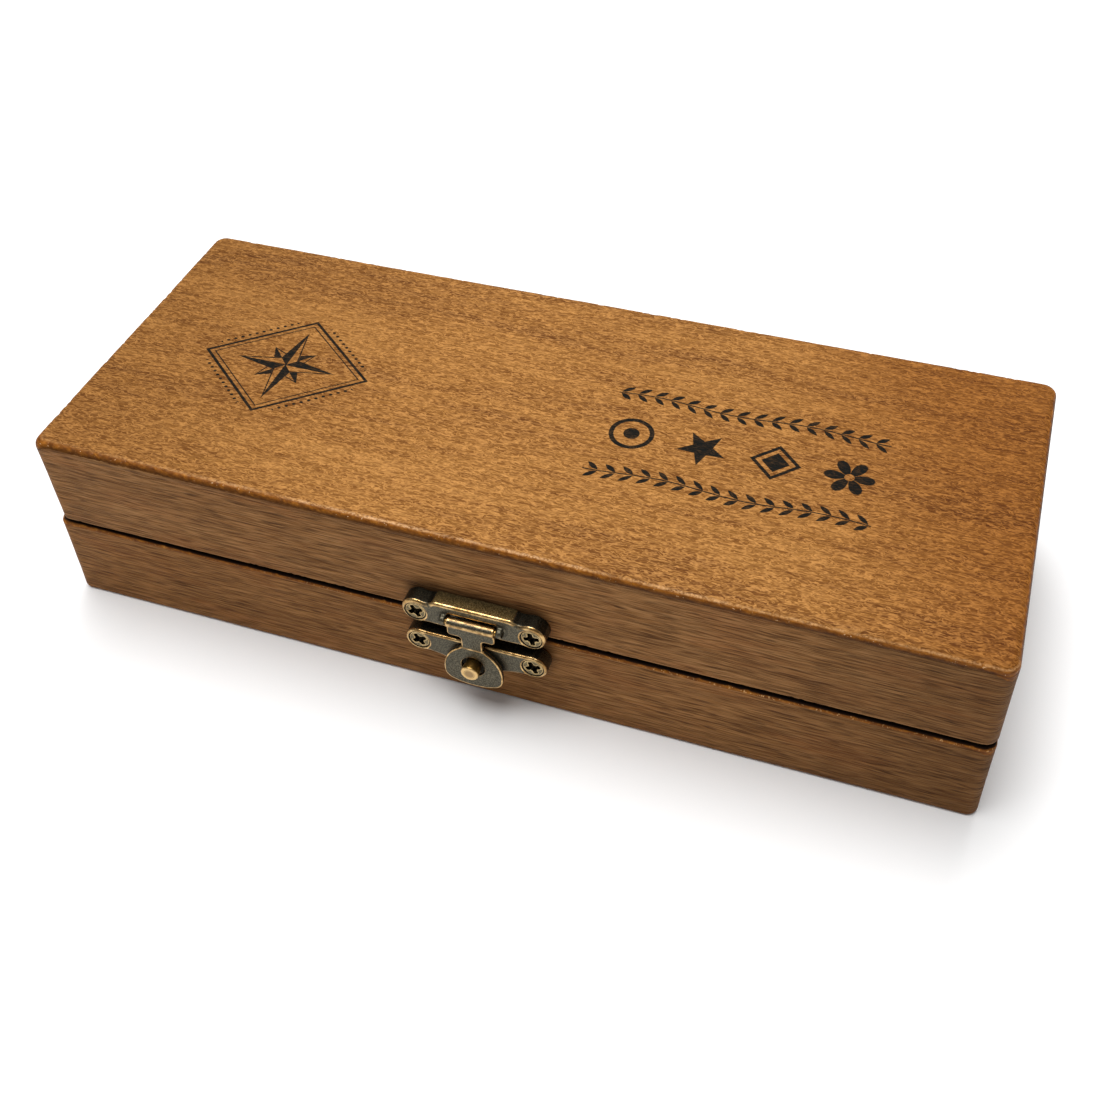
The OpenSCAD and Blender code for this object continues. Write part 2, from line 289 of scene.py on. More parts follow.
def lean(ob):
    """Draws the lid's left end in towards the seam, so that the base stands a little proud there."""
    for vert in ob.data.vertices:
        x, z = vert.co.x * 1000, vert.co.z * 1000
        side = min(1.0, max(0.0, (-90.5 - x) / 4.0))
        down = min(1.0, max(0.0, (TOP_Z - z) / (TOP_Z - LID_Z)))
        vert.co.x += 0.00085 * side * down


full = [(-x1, -y1), (x1, -y1), (x1, y1), (-x1, y1)]
wood = {}
wood["base_front_wall"] = long_wall("front_wall_of_base", -1, 0.0, BASE_H, 0.9, 0.6, 11, True)
wood["base_back_wall"] = long_wall("back_wall_of_base", 1, 0.0, BASE_H, 0.9, 0.6, 12, True)
wood["base_left_end"] = end_wall("left_end_of_base", -1, 0.0, BASE_H, 0.9, 0.6, 13, True)
wood["base_right_end"] = end_wall("right_end_of_base", 1, 0.0, BASE_H, 0.9, 0.6, 14, True)
wood["lid_front_wall"] = long_wall("front_wall_of_lid", -1, LID_Z, TOP_Z - 0.02, 0.6, 0.04, 15, False)
wood["lid_back_wall"] = long_wall("back_wall_of_lid", 1, LID_Z, TOP_Z - 0.02, 0.6, 0.04, 16, False)
wood["lid_left_end"] = end_wall("left_end_of_lid", -1, LID_Z, TOP_Z - 0.02, 0.6, 0.04, 17, False)
wood["lid_right_end"] = end_wall("right_end_of_lid", 1, LID_Z, TOP_Z - 0.02, 0.6, 0.04, 18, False)
wood["lid_top_board"] = board("top_board_of_lid", full, [CORNER] * 4, TOP_Z, H, lambda P: np.full(len(P), 0.04), lambda P: np.full(len(P), 1.6), ds=0.4, seed=19, chip_t=0.13, mids=3)
for part in ("lid_front_wall", "lid_back_wall", "lid_left_end"):
    lean(wood[part])
b = xi + 3.5 - 0.06
c = yi + 3.5 - 0.06
wood["base_bottom_board"] = board("bottom_board", [(-b, -c), (b, -c), (b, c), (-b, c)], [0.3] * 4, 0.03, 2.5, lambda P: np.full(len(P), 0.12), lambda P: np.full(len(P), 0.1), ds=2.0, seed=20, mids=2, outer=lambda P: np.zeros(len(P)))


# ------------------------------------------------------------------ metal from distance fields
def box2(x, y, cx, cy, hx, hy, r):
    qx, qy = np.abs(x - cx) - hx + r, np.abs(y - cy) - hy + r
    return np.hypot(np.maximum(qx, 0), np.maximum(qy, 0)) + np.minimum(np.maximum(qx, qy), 0) - r


def smin(a, b, k):
    h = np.clip(0.5 + 0.5 * (b - a) / k, 0, 1)
    return b * (1 - h) + a * h - k * h * (1 - h)


def smax(a, b, k):
    return -smin(-a, -b, k)


def extrude(d2, t, t0, t1, r):
    qx, qy = d2 + r, np.abs(t - (t0 + t1) / 2) - (t1 - t0) / 2 + r
    return np.hypot(np.maximum(qx, 0), np.maximum(qy, 0)) + np.minimum(np.maximum(qx, qy), 0) - r


def rod(a, b, t, half, r, rr):
    """Round bar along t: a and b are the distances from its axis."""
    return extrude(np.hypot(a, b) - r, t, -half, half, rr)


def surface_net(f, lo, hi, h):
    """Closed quad mesh of the surface f = 0, with a curvature value for each point."""
    ax = [np.arange(lo[i], hi[i] + h, h, dtype=np.float64) for i in range(3)]
    X, Y, Z = np.meshgrid(*ax, indexing="ij")
    V = f(X, Y, Z).astype(np.float64)
    V[V == 0] = 1e-9
    n = V.shape
    cs = (n[0] - 1, n[1] - 1, n[2] - 1)
    cnt = np.zeros(cs)
    acc = [np.zeros(cs) for _ in range(3)]

    def corner(o):
        return V[o[0]:o[0] + cs[0], o[1]:o[1] + cs[1], o[2]:o[2] + cs[2]]
    for axis in range(3):
        for p in (0, 1):
            for q in (0, 1):
                o = [0, 0, 0]
                others = [i for i in range(3) if i != axis]
                o[others[0]], o[others[1]] = p, q
                v0 = corner(o)
                e = list(o)
                e[axis] = 1
                v1 = corner(e)
                m = (v0 < 0) != (v1 < 0)
                t = np.where(m, v0 / np.where(m, v0 - v1, 1), 0)
                cnt += m
                for i in range(3):
                    acc[i] += np.where(m, t if i == axis else o[i], 0)
    has = cnt > 0
    index = -np.ones(cs, int)
    index[has] = np.arange(has.sum())
    ii, jj, kk = np.nonzero(has)
    P = np.stack([lo[0] + h * (ii + acc[0][has] / cnt[has]), lo[1] + h * (jj + acc[1][has] / cnt[has]), lo[2] + h * (kk + acc[2][has] / cnt[has])], axis=1)
    faces = []
    for axis in range(3):
        a, b_ = [i for i in range(3) if i != axis]
        if axis == 1:
            a, b_ = b_, a
        s0 = [slice(None)] * 3
        s1 = [slice(None)] * 3
        s0[axis], s1[axis] = slice(0, -1), slice(1, None)
        A, B = V[tuple(s0)] < 0, V[tuple(s1)] < 0
        for flip, m in ((False, A & ~B), (True, ~A & B)):
            g = np.stack(np.nonzero(m), axis=1)
            ok = (g[:, a] > 0) & (g[:, b_] > 0) & (g[:, a] < cs[a]) & (g[:, b_] < cs[b_])
            g = g[ok]
            quad = []
            for da, db in ((-1, -1), (0, -1), (0, 0), (-1, 0)):
                c_ = g.copy()
                c_[:, a] += da
                c_[:, b_] += db
                quad.append(index[c_[:, 0], c_[:, 1], c_[:, 2]])
            q_ = np.stack(quad if not flip else quad[::-1], axis=1)
            faces.append(q_)
    F = np.concatenate(faces)
    F = F[(F >= 0).all(1)]

    def at(Q):
        return f(Q[:, 0], Q[:, 1], Q[:, 2])
    e = 0.02
    for _ in range(2):
        val = at(P)
        g = np.stack([(at(P + np.eye(3)[i] * e) - at(P - np.eye(3)[i] * e)) / (2 * e) for i in range(3)], axis=1)
        g2 = np.maximum((g ** 2).sum(1), 0.2)
        P = P - np.clip(val / g2, -h * 0.5, h * 0.5)[:, None] * g
    hh = 0.28
    curve = (sum(at(P + np.eye(3)[i] * hh) + at(P - np.eye(3)[i] * hh) for i in range(3)) - 6 * at(P)) / hh
    return P, F, curve


def field_object(name, f, lo, hi, h, place, wear=None):
    """place turns (across, up, out) of the latch into (x, y, z) of the box; wear changes the curvature that the rubbed
    metal follows, and also sets painted shade and painted highlight.
    """
    P, F, curve = surface_net(f, lo, hi, h)
    if wear is not None:
        curve = wear(P[:, 0], P[:, 1], P[:, 2], curve)
    ob = new_object(name, place(P), [tuple(q) for q in F.tolist()])
    point_attribute(ob, "curve", curve)
    return ob


def on_front(P):
    return np.stack([P[:, 0] + LATCH_X, -W / 2 - P[:, 2], P[:, 1]], axis=1)


def as_is(P):
    return P


def fix_normals(ob):
    """Turns every face outwards."""
    import bmesh
    bm = bmesh.new()
    bm.from_mesh(ob.data)
    bmesh.ops.recalc_face_normals(bm, faces=bm.faces)
    bm.to_mesh(ob.data)
    bm.free()


def plate_screw_sink(u, v, d, v0):
    """Countersunk holes for the two screws, as a solid to take away."""
    au = np.abs(u) - SCREW_U
    r = np.hypot(au, v - v0)
    cone = (r - 1.05 - np.clip(d - (FACE_D - 1.3), 0, None)) * 0.75
    return np.minimum(cone, r - 1.0)


def lid_plate(u, v, d):
    au = np.abs(u)
    mid = box2(u, v, 0, 24.32, 8.7, 3.0, 1.5)
    bar = box2(u, v, 0, 23.85, 11.5, 2.55, 0.4)
    ear = np.hypot(au - 11.5, v - 24.0) - 2.97
    out = smin(smin(mid, ear, 2.3), bar, 0.3)
    body = extrude(out, d, -4.0, FACE_D, 0.62)
    boss = rod(v - PIVOT_Z, d - PIVOT_D + 0.15, au - 5.7, 0.7, 1.0, 0.5)
    body = smin(body, boss, 0.65)
    slot = extrude(box2(u, v, 0, 22.6, 5.02, 2.75, 0.35), d, 2.5, 9.0, 0.15)
    body = smax(body, -slot, 0.12)
    body = smax(body, -plate_screw_sink(u, v, d, 23.7), 0.12)
    body = np.maximum(body, -(np.hypot(v - PIVOT_Z, d - PIVOT_D) - 0.56))
    return np.maximum(body, -d)


def keeper_plate(u, v, d):
    au = np.abs(u)
    bar = box2(u, v, 0, 15.62, 11.7, 2.6, 0.4)
    ear = np.hypot(au - 11.75, v - 15.5) - 2.69
    lobe = np.hypot(u, v - POST_Z) - 3.7
    skirt = np.maximum(np.maximum((13.4 - v) * 0 + (au * 0.34 - (v - 10.2)) * 0.947, v - 14), 10.6 - v)
    out = smin(smin(bar, ear, 0.6), smin(lobe, skirt, 1.2), 0.9)
    body = extrude(out, d, -4.0, FACE_D, 0.5)
    body = smax(body, -plate_screw_sink(u, v, d, 15.45), 0.12)
    body = np.maximum(body, -(np.hypot(u, v - POST_Z) - 1.12))
    return np.maximum(body, -d)


def tongue(u, v, d):
    face = PIVOT_D + 0.5
    leaf = box2(u, v, 0, 22.15, 4.8, 1.15, 0.75)
    neck = box2(u, v, 0, 19.8, 2.1, 2.6, 0.2)
    flat = smin(leaf, neck, 0.9)
    flat = np.maximum(flat, v - (PIVOT_Z - 0.75))
    sheet = extrude(flat, d, face - 0.9, face, 0.16)
    barrel = rod(v - PIVOT_Z, d - PIVOT_D, u, 4.8, 1.05, 0.22)
    top = smin(sheet, barrel, 0.12)
    k = math.radians(4)
    vv = (v - CREASE) * math.cos(k) - (d - (face - 0.9)) * -math.sin(k)
    dd = (d - (face - 0.9)) * math.cos(k) - (CREASE - v) * math.sin(k)
    pv = vv + CREASE
    side = smax(np.hypot(u + 0.725, pv - 11.9) - 6.74, np.hypot(u - 0.725, pv - 11.9) - 6.74, 0.4)
    pad = smax(side, np.hypot(u, pv - 21.47) - 13.18, 0.9)
    pad = smin(pad, box2(u, pv, 0, 18.4, 2.1, 1.2, 0.1), 0.9)
    pad = np.maximum(pad, pv - CREASE - 0.05)
    pad = extrude(pad, dd, 0.0, 0.9, 0.16)
    hole = np.hypot(u, pv - POST_Z) - 2.4
    pad = smax(pad, -hole, 0.14)
    body = smin(top, pad, 0.08)
    return np.maximum(body, -(np.hypot(v - PIVOT_Z, d - PIVOT_D) - 0.62))


def lid_plate_wear_and_shade(u, v, d, c_):
    au = np.abs(u)
    boss = (au > 4.95) & (au < 6.7) & (np.hypot(v - PIVOT_Z, d - PIVOT_D) < 1.5) & (d > FACE_D + 0.05)
    top = (v > 26.9) & (au < 8.0) & (d < FACE_D - 0.5)
    dip = (v > 25.4) & (au > 8.2) & (d < FACE_D - 0.45)
    # countersinks are set dark: painted shade
    sink = (np.hypot(au - SCREW_U, v - 23.7) < 2.3) & (d < FACE_D - 0.1)
    return np.where(boss, c_ * 0.1, np.where(top, 5.0, np.where(sink, -0.6, np.where(dip, -0.48, c_))))


def keeper_wear_and_shade(u, v, d, c_):
    # countersinks are set dark: painted shade
    sink = (np.hypot(np.abs(u) - SCREW_U, v - 15.45) < 2.3) & (d < FACE_D - 0.1)
    return np.where(sink, -0.6, c_ * 0.85)


def tongue_wear_and_highlight(u, v, d, c_):
    hole = np.hypot(u, v - POST_Z) < 2.8
    barrel = v > 23.1
    # painted highlight: a brass line along the fold
    fold = np.abs(v - CREASE + 0.1) < 0.16
    c_ = np.where(hole, c_ * 0.2, np.where(barrel, c_ * 0.55, c_ * 0.62))
    return np.where(fold & (d > PIVOT_D + 0.35), np.maximum(c_, 0.34), c_)


metal = {}
metal["latch_lid_plate"] = field_object("lid_plate_of_latch", lid_plate, (-14.9, 20.9, -0.25), (14.9, 27.9, 5.6), 0.11, on_front, lid_plate_wear_and_shade)
metal["latch_keeper_plate"] = field_object("keeper_plate_of_latch", keeper_plate, (-14.9, 9.4, -0.25), (14.9, 18.7, 3.7), 0.12, on_front, keeper_wear_and_shade)
metal["latch_tongue"] = field_object("tongue_of_latch", tongue, (-6.4, 7.7, 2.8), (6.4, 25.5, 6.0), 0.1, on_front, tongue_wear_and_highlight)


def screw_head(turn):
    ca, sa = math.cos(turn), math.sin(turn)

    def f(u, v, d):
        r = np.hypot(u, v)
        head = extrude(r - 2.1, d, -1.0, 0.0, 0.25)
        head = np.maximum(head, d - 0.02 + 0.012 * r * r)
        shank = np.maximum(r - 0.8, np.abs(d + 4.2) - 3.4)
        a, b2 = u * ca + v * sa, -u * sa + v * ca
        arm1 = box2(a, b2, 0, 0, 1.55, 0.47, 0.25)
        arm2 = box2(a, b2, 0, 0, 0.47, 1.55, 0.25)
        cross = smin(arm1, arm2, 0.5)
        cross = np.maximum(cross + np.clip(-d - 0.3, 0, None) * 0.4, -d - 1.1)
        head = smax(head, -cross, 0.06)
        return np.minimum(head, shank)
    return f


def joined(name, parts):
    """One object from several, attributes kept."""
    for o in bpy.context.selected_objects:
        o.select_set(False)
    for o in parts:
        o.select_set(True)
    bpy.context.view_layer.objects.active = parts[0]
    bpy.ops.object.join()
    parts[0].name = name
    parts[0].data.name = name
    return parts[0]


def screws(name, v0, turns):
    parts = []
    for side, turn in zip((-1, 1), turns):
        def place(P, side=side):
            Q = P.copy()
            Q[:, 0] += side * SCREW_U
            Q[:, 1] += v0
            Q[:, 2] += FACE_D - 0.16
            return on_front(Q)

        def wear(u, v, d, c_, turn=turn):
            a, b2 = u * math.cos(turn) + v * math.sin(turn), -u * math.sin(turn) + v * math.cos(turn)
            slot = smin(box2(a, b2, 0, 0, 1.55, 0.47, 0.25), box2(a, b2, 0, 0, 0.47, 1.55, 0.25), 0.5) < 0.03
            return np.where(slot & (d < -0.12), -1.0, c_)
        parts.append(field_object(name, screw_head(turn), (-2.3, -2.3, -1.35), (2.3, 2.3, 0.4), 0.075, place, wear))
    return joined(name, parts)


metal["latch_lid_screws"] = screws("lid_plate_screws", 23.7, (math.radians(28), math.radians(12)))
metal["latch_keeper_screws"] = screws("keeper_plate_screws", 15.45, (math.radians(33), math.radians(24)))


def lathe(name, profile, axis_point, axis, place=as_is, seg=72, smooth=True):
    """Turns (radius, along) points about an axis; both ends lie on the axis."""
    prof = np.array(profile, float)
    verts, faces = [], []
    a = np.array(axis, float)
    e1 = np.array([0, 0, 1.0]) if abs(a[2]) < 0.9 else np.array([1.0, 0, 0])
    e1 = np.cross(a, e1)
    e1 /= np.linalg.norm(e1)
    e2 = np.cross(a, e1)
    start = len(verts)
    verts.append(np.array(axis_point) + a * prof[0, 1])
    for r, t in prof[1:-1]:
        for k in range(seg):
            w = 2 * math.pi * k / seg
            verts.append(np.array(axis_point) + a * t + e1 * r * math.cos(w) + e2 * r * math.sin(w))
    verts.append(np.array(axis_point) + a * prof[-1, 1])
    m = len(prof) - 2
    for k in range(seg):
        j = (k + 1) % seg
        faces.append((0, 1 + j, 1 + k))
        for r in range(m - 1):
            p = 1 + r * seg
            faces.append((p + k, p + j, p + seg + j, p + seg + k))
        p = 1 + (m - 1) * seg
        faces.append((p + k, p + j, len(verts) - 1))
    ob = new_object(name, place(np.array(verts)), faces)
    fix_normals(ob)
    dr = np.gradient(prof[:, 0])
    dt = np.gradient(prof[:, 1])
    bend = np.abs(np.gradient(np.unwrap(np.arctan2(dt, dr))))
    bend = np.clip(bend * 1.6, 0, 2)
    at = [bend[0]] + [v for v in bend[1:-1] for _ in range(seg)] + [bend[-1]]
    point_attribute(ob, "curve", at)
    return ob


def arc(cx, cy, r, a0, a1, n):
    return [(cx + r * math.cos(math.radians(a0 + (a1 - a0) * i / n)), cy + r * math.sin(math.radians(a0 + (a1 - a0) * i / n))) for i in range(n + 1)]


post = [(0, 0.15), (1.1, 0.15), (1.1, 3.38), (1.62, 3.42), (1.64, 4.6)]
post += [(1.66, 4.9), (1.7, 5.2), (1.75, 5.5), (1.78, 5.8), (1.8, 6.1)]
post += arc(1.44, 6.58, 0.36, 0, 82, 9)
post += [(1.3, 6.945), (1.15, 6.92), (1.02, 6.90), (0.8, 6.905), (0.5, 6.92), (0, 6.925)]
metal["latch_keeper_post"] = lathe("post_of_latch", post, (0, POST_Z, 0), (0, 0, 1), on_front)


def pin_profile(half, r, c_=0.12):
    out = [(0, -half)] + [(r - c_ + x_, y_) for x_, y_ in [(0, -half)]]
    out += [(r - c_ + c_ * math.sin(math.radians(w)), -half + c_ - c_ * math.cos(math.radians(w))) for w in (20, 45, 70, 90)]
    out += [(r - c_ + c_ * math.sin(math.radians(w)), half - c_ + c_ * math.cos(math.radians(w))) for w in (90, 70, 45, 20)]
    out += [(r - c_, half), (0, half)]
    return out


metal["latch_pivot_pin"] = lathe("pivot_pin_of_latch", pin_profile(6.1, 0.55), (0, PIVOT_Z, PIVOT_D), (1, 0, 0), on_front, seg=40)


def base_leaf(x, y, z):
    """Centred on the pin: x along it, y to the back, z up."""
    plate = extrude(box2(x, y, 0, -3.35, 9.0, 2.65, 0.5), z, -0.45, -0.05, 0.08)
    strap = extrude(box2(np.abs(x), y, 6.05, -1.2, 2.95, 1.0, 0.1), z, -0.45, -0.05, 0.08)
    plate = np.maximum(smin(plate, strap, 0.05), -box2(x, y, 0, 0.7, 3.1, 2.1, 0.1))
    knuckle = rod(y, z, np.abs(x) - 6.05, 2.93, 1.1, 0.12)
    body = smin(plate, knuckle, 0.1)
    body = np.maximum(body, -(np.hypot(y, z) - 0.56))
    r = np.hypot(np.abs(x) - 6, y + 3.9)
    sink = np.minimum(r - 0.52, r - 0.52 - np.clip((z + 0.35) * 1.5, 0, 0.45))
    return np.maximum(body, -sink)


def lid_leaf(x, y, z):
    plate = extrude(box2(x, y, 0, -3.35, 9.0, 2.65, 0.5), z, 0.05, 0.45, 0.08)
    plate = np.maximum(plate, -box2(np.abs(x), y, 6.1, 0.7, 3.15, 2.1, 0.1))
    strap = extrude(box2(x, y, 0, -1.2, 2.93, 1.0, 0.1), z, 0.05, 0.45, 0.08)
    knuckle = rod(y, z, x, 2.93, 1.1, 0.12)
    body = smin(smin(plate, strap, 0.05), knuckle, 0.1)
    body = np.maximum(body, -(np.hypot(y, z) - 0.6))
    r = np.hypot(np.abs(x) - 6, y + 3.9)
    sink = np.minimum(r - 0.52, r - 0.52 - np.clip((0.35 - z) * 1.5, 0, 0.45))
    return np.maximum(body, -sink)


for side, hx in (("left", HINGES[0]), ("right", HINGES[1])):
    def place(P, hx=hx):
        return P + np.array([hx, PIN_Y, PIN_Z])
    metal[side + "_hinge_base_leaf"] = field_object(side + "_hinge_leaf_on_base", base_leaf, (-9.2, -6.3, -1.3), (9.2, 1.3, 1.3), 0.11, place)
    metal[side + "_hinge_lid_leaf"] = field_object(side + "_hinge_leaf_on_lid", lid_leaf, (-9.2, -6.3, -1.3), (9.2, 1.3, 1.3), 0.11, place)
    metal[side + "_hinge_pin"] = lathe(side + "_pin_of_hinge", pin_profile(8.98, 0.55), (hx, PIN_Y, PIN_Z), (1, 0, 0), seg=32)


def nails(name, z, up):
    prof = [(0, -6.1), (0.12, -6.05), (0.5, -5.5), (0.5, 0.1), (0.93, 0.33), (0.95, 0.38), (0.85, 0.398), (0.5, 0.4), (0, 0.4)]
    parts = [lathe(name, prof, (hx + n, PIN_Y - 3.9, z), (0, 0, up), seg=28) for hx in HINGES for n in (-6, 6)]
    return joined(name, parts)


metal["hinge_base_nails"] = nails("nails_in_base", BASE_H, 1)
metal["hinge_lid_nails"] = nails("nails_in_lid", LID_Z, -1)


# ------------------------------------------------------------------ material graphs
class Graph:
    def __init__(self, name):
        self.mat = bpy.data.materials.new(name)
        self.mat.use_nodes = True
        self.t = self.mat.node_tree
        self.t.nodes.clear()
        self.out = self.t.nodes.new("ShaderNodeOutputMaterial")
        self.bsdf = self.t.nodes.new("ShaderNodeBsdfPrincipled")
        self.link(self.bsdf.outputs[0], self.out.inputs[0])

    def link(self, a, b_):
        self.t.links.new(a, b_)

    def put(self, socket, value):
        if isinstance(value, bpy.types.NodeSocket):
            self.link(value, socket)
        else:
            socket.default_value = value

    def m(self, op, a, b_=None, c_=None, clamp=False):
        n = self.t.nodes.new("ShaderNodeMath")
        n.operation = op
        n.use_clamp = clamp
        for i, v in enumerate((a, b_, c_)):
            if v is not None:
                self.put(n.inputs[i], v)
        return n.outputs[0]

    def add(self, a, b_): return self.m("ADD", a, b_)
    def sub(self, a, b_): return self.m("SUBTRACT", a, b_)
    def mul(self, a, b_): return self.m("MULTIPLY", a, b_)
    def maxi(self, a, b_): return self.m("MAXIMUM", a, b_)
    def mini(self, a, b_): return self.m("MINIMUM", a, b_)
    def absv(self, a): return self.m("ABSOLUTE", a)

    def length(self, a, b_):
        return self.m("SQRT", self.add(self.mul(a, a), self.mul(b_, b_)))

    def vec(self, x, y, z):
        n = self.t.nodes.new("ShaderNodeCombineXYZ")
        for i, v in enumerate((x, y, z)):
            self.put(n.inputs[i], v)
        return n.outputs[0]

    def xyz(self, v):
        n = self.t.nodes.new("ShaderNodeSeparateXYZ")
        self.link(v, n.inputs[0])
        return n.outputs[0], n.outputs[1], n.outputs[2]

    def coords(self):
        n = self.t.nodes.new("ShaderNodeTexCoord")
        s = self.t.nodes.new("ShaderNodeVectorMath")
        s.operation = "SCALE"
        self.link(n.outputs["Object"], s.inputs[0])
        s.inputs["Scale"].default_value = 1000.0
        return s.outputs[0]

    def noise(self, v, scale=1.0, detail=2.0, rough=0.5, distort=0.0, w=None):
        n = self.t.nodes.new("ShaderNodeTexNoise")
        if w is not None:
            n.noise_dimensions = "4D"
            n.inputs["W"].default_value = w
        self.link(v, n.inputs["Vector"])
        n.inputs["Scale"].default_value = scale
        n.inputs["Detail"].default_value = detail
        n.inputs["Roughness"].default_value = rough
        n.inputs["Distortion"].default_value = distort
        return n.outputs["Fac"]

    def remap(self, v, a, b_, c_=0.0, d=1.0, smooth=True):
        n = self.t.nodes.new("ShaderNodeMapRange")
        n.interpolation_type = "SMOOTHSTEP" if smooth else "LINEAR"
        n.clamp = True
        self.put(n.inputs["Value"], v)
        for k, x in (("From Min", a), ("From Max", b_), ("To Min", c_), ("To Max", d)):
            n.inputs[k].default_value = x
        return n.outputs[0]

    def ramp(self, v, stops):
        n = self.t.nodes.new("ShaderNodeValToRGB")
        el = n.color_ramp.elements
        while len(el) < len(stops):
            el.new(0.5)
        for e, (p, col) in zip(el, stops):
            e.position = p
            e.color = (*col, 1)
        self.put(n.inputs[0], v)
        return n.outputs[0]

    def mix(self, f, a, b_, mode="MIX"):
        n = self.t.nodes.new("ShaderNodeMix")
        n.data_type = "RGBA"
        n.blend_type = mode
        self.put(n.inputs[0], f)
        for i, v in ((6, a), (7, b_)):
            if isinstance(v, tuple):
                v = (*v, 1) if len(v) == 3 else v
            self.put(n.inputs[i], v)
        return n.outputs[2]

    def attr(self, name):
        n = self.t.nodes.new("ShaderNodeAttribute")
        n.attribute_name = name
        return n.outputs["Fac"]

    def bump(self, height, dist_mm, strength=1.0, normal=None):
        n = self.t.nodes.new("ShaderNodeBump")
        n.inputs["Strength"].default_value = strength
        n.inputs["Distance"].default_value = dist_mm * 0.001
        self.link(height, n.inputs["Height"])
        if normal is not None:
            self.link(normal, n.inputs["Normal"])
        return n.outputs[0]

    def set(self, **kw):
        for k, v in kw.items():
            self.put(self.bsdf.inputs[k.replace("_", " ")], v)


def lin(r, g, b_):
    """Linear colour from 0-255 display values."""
    f = lambda v: (v / 255 / 12.92) if v / 255 <= 0.04045 else ((v / 255 + 0.055) / 1.055) ** 2.4
    return (f(r), f(g), f(b_))


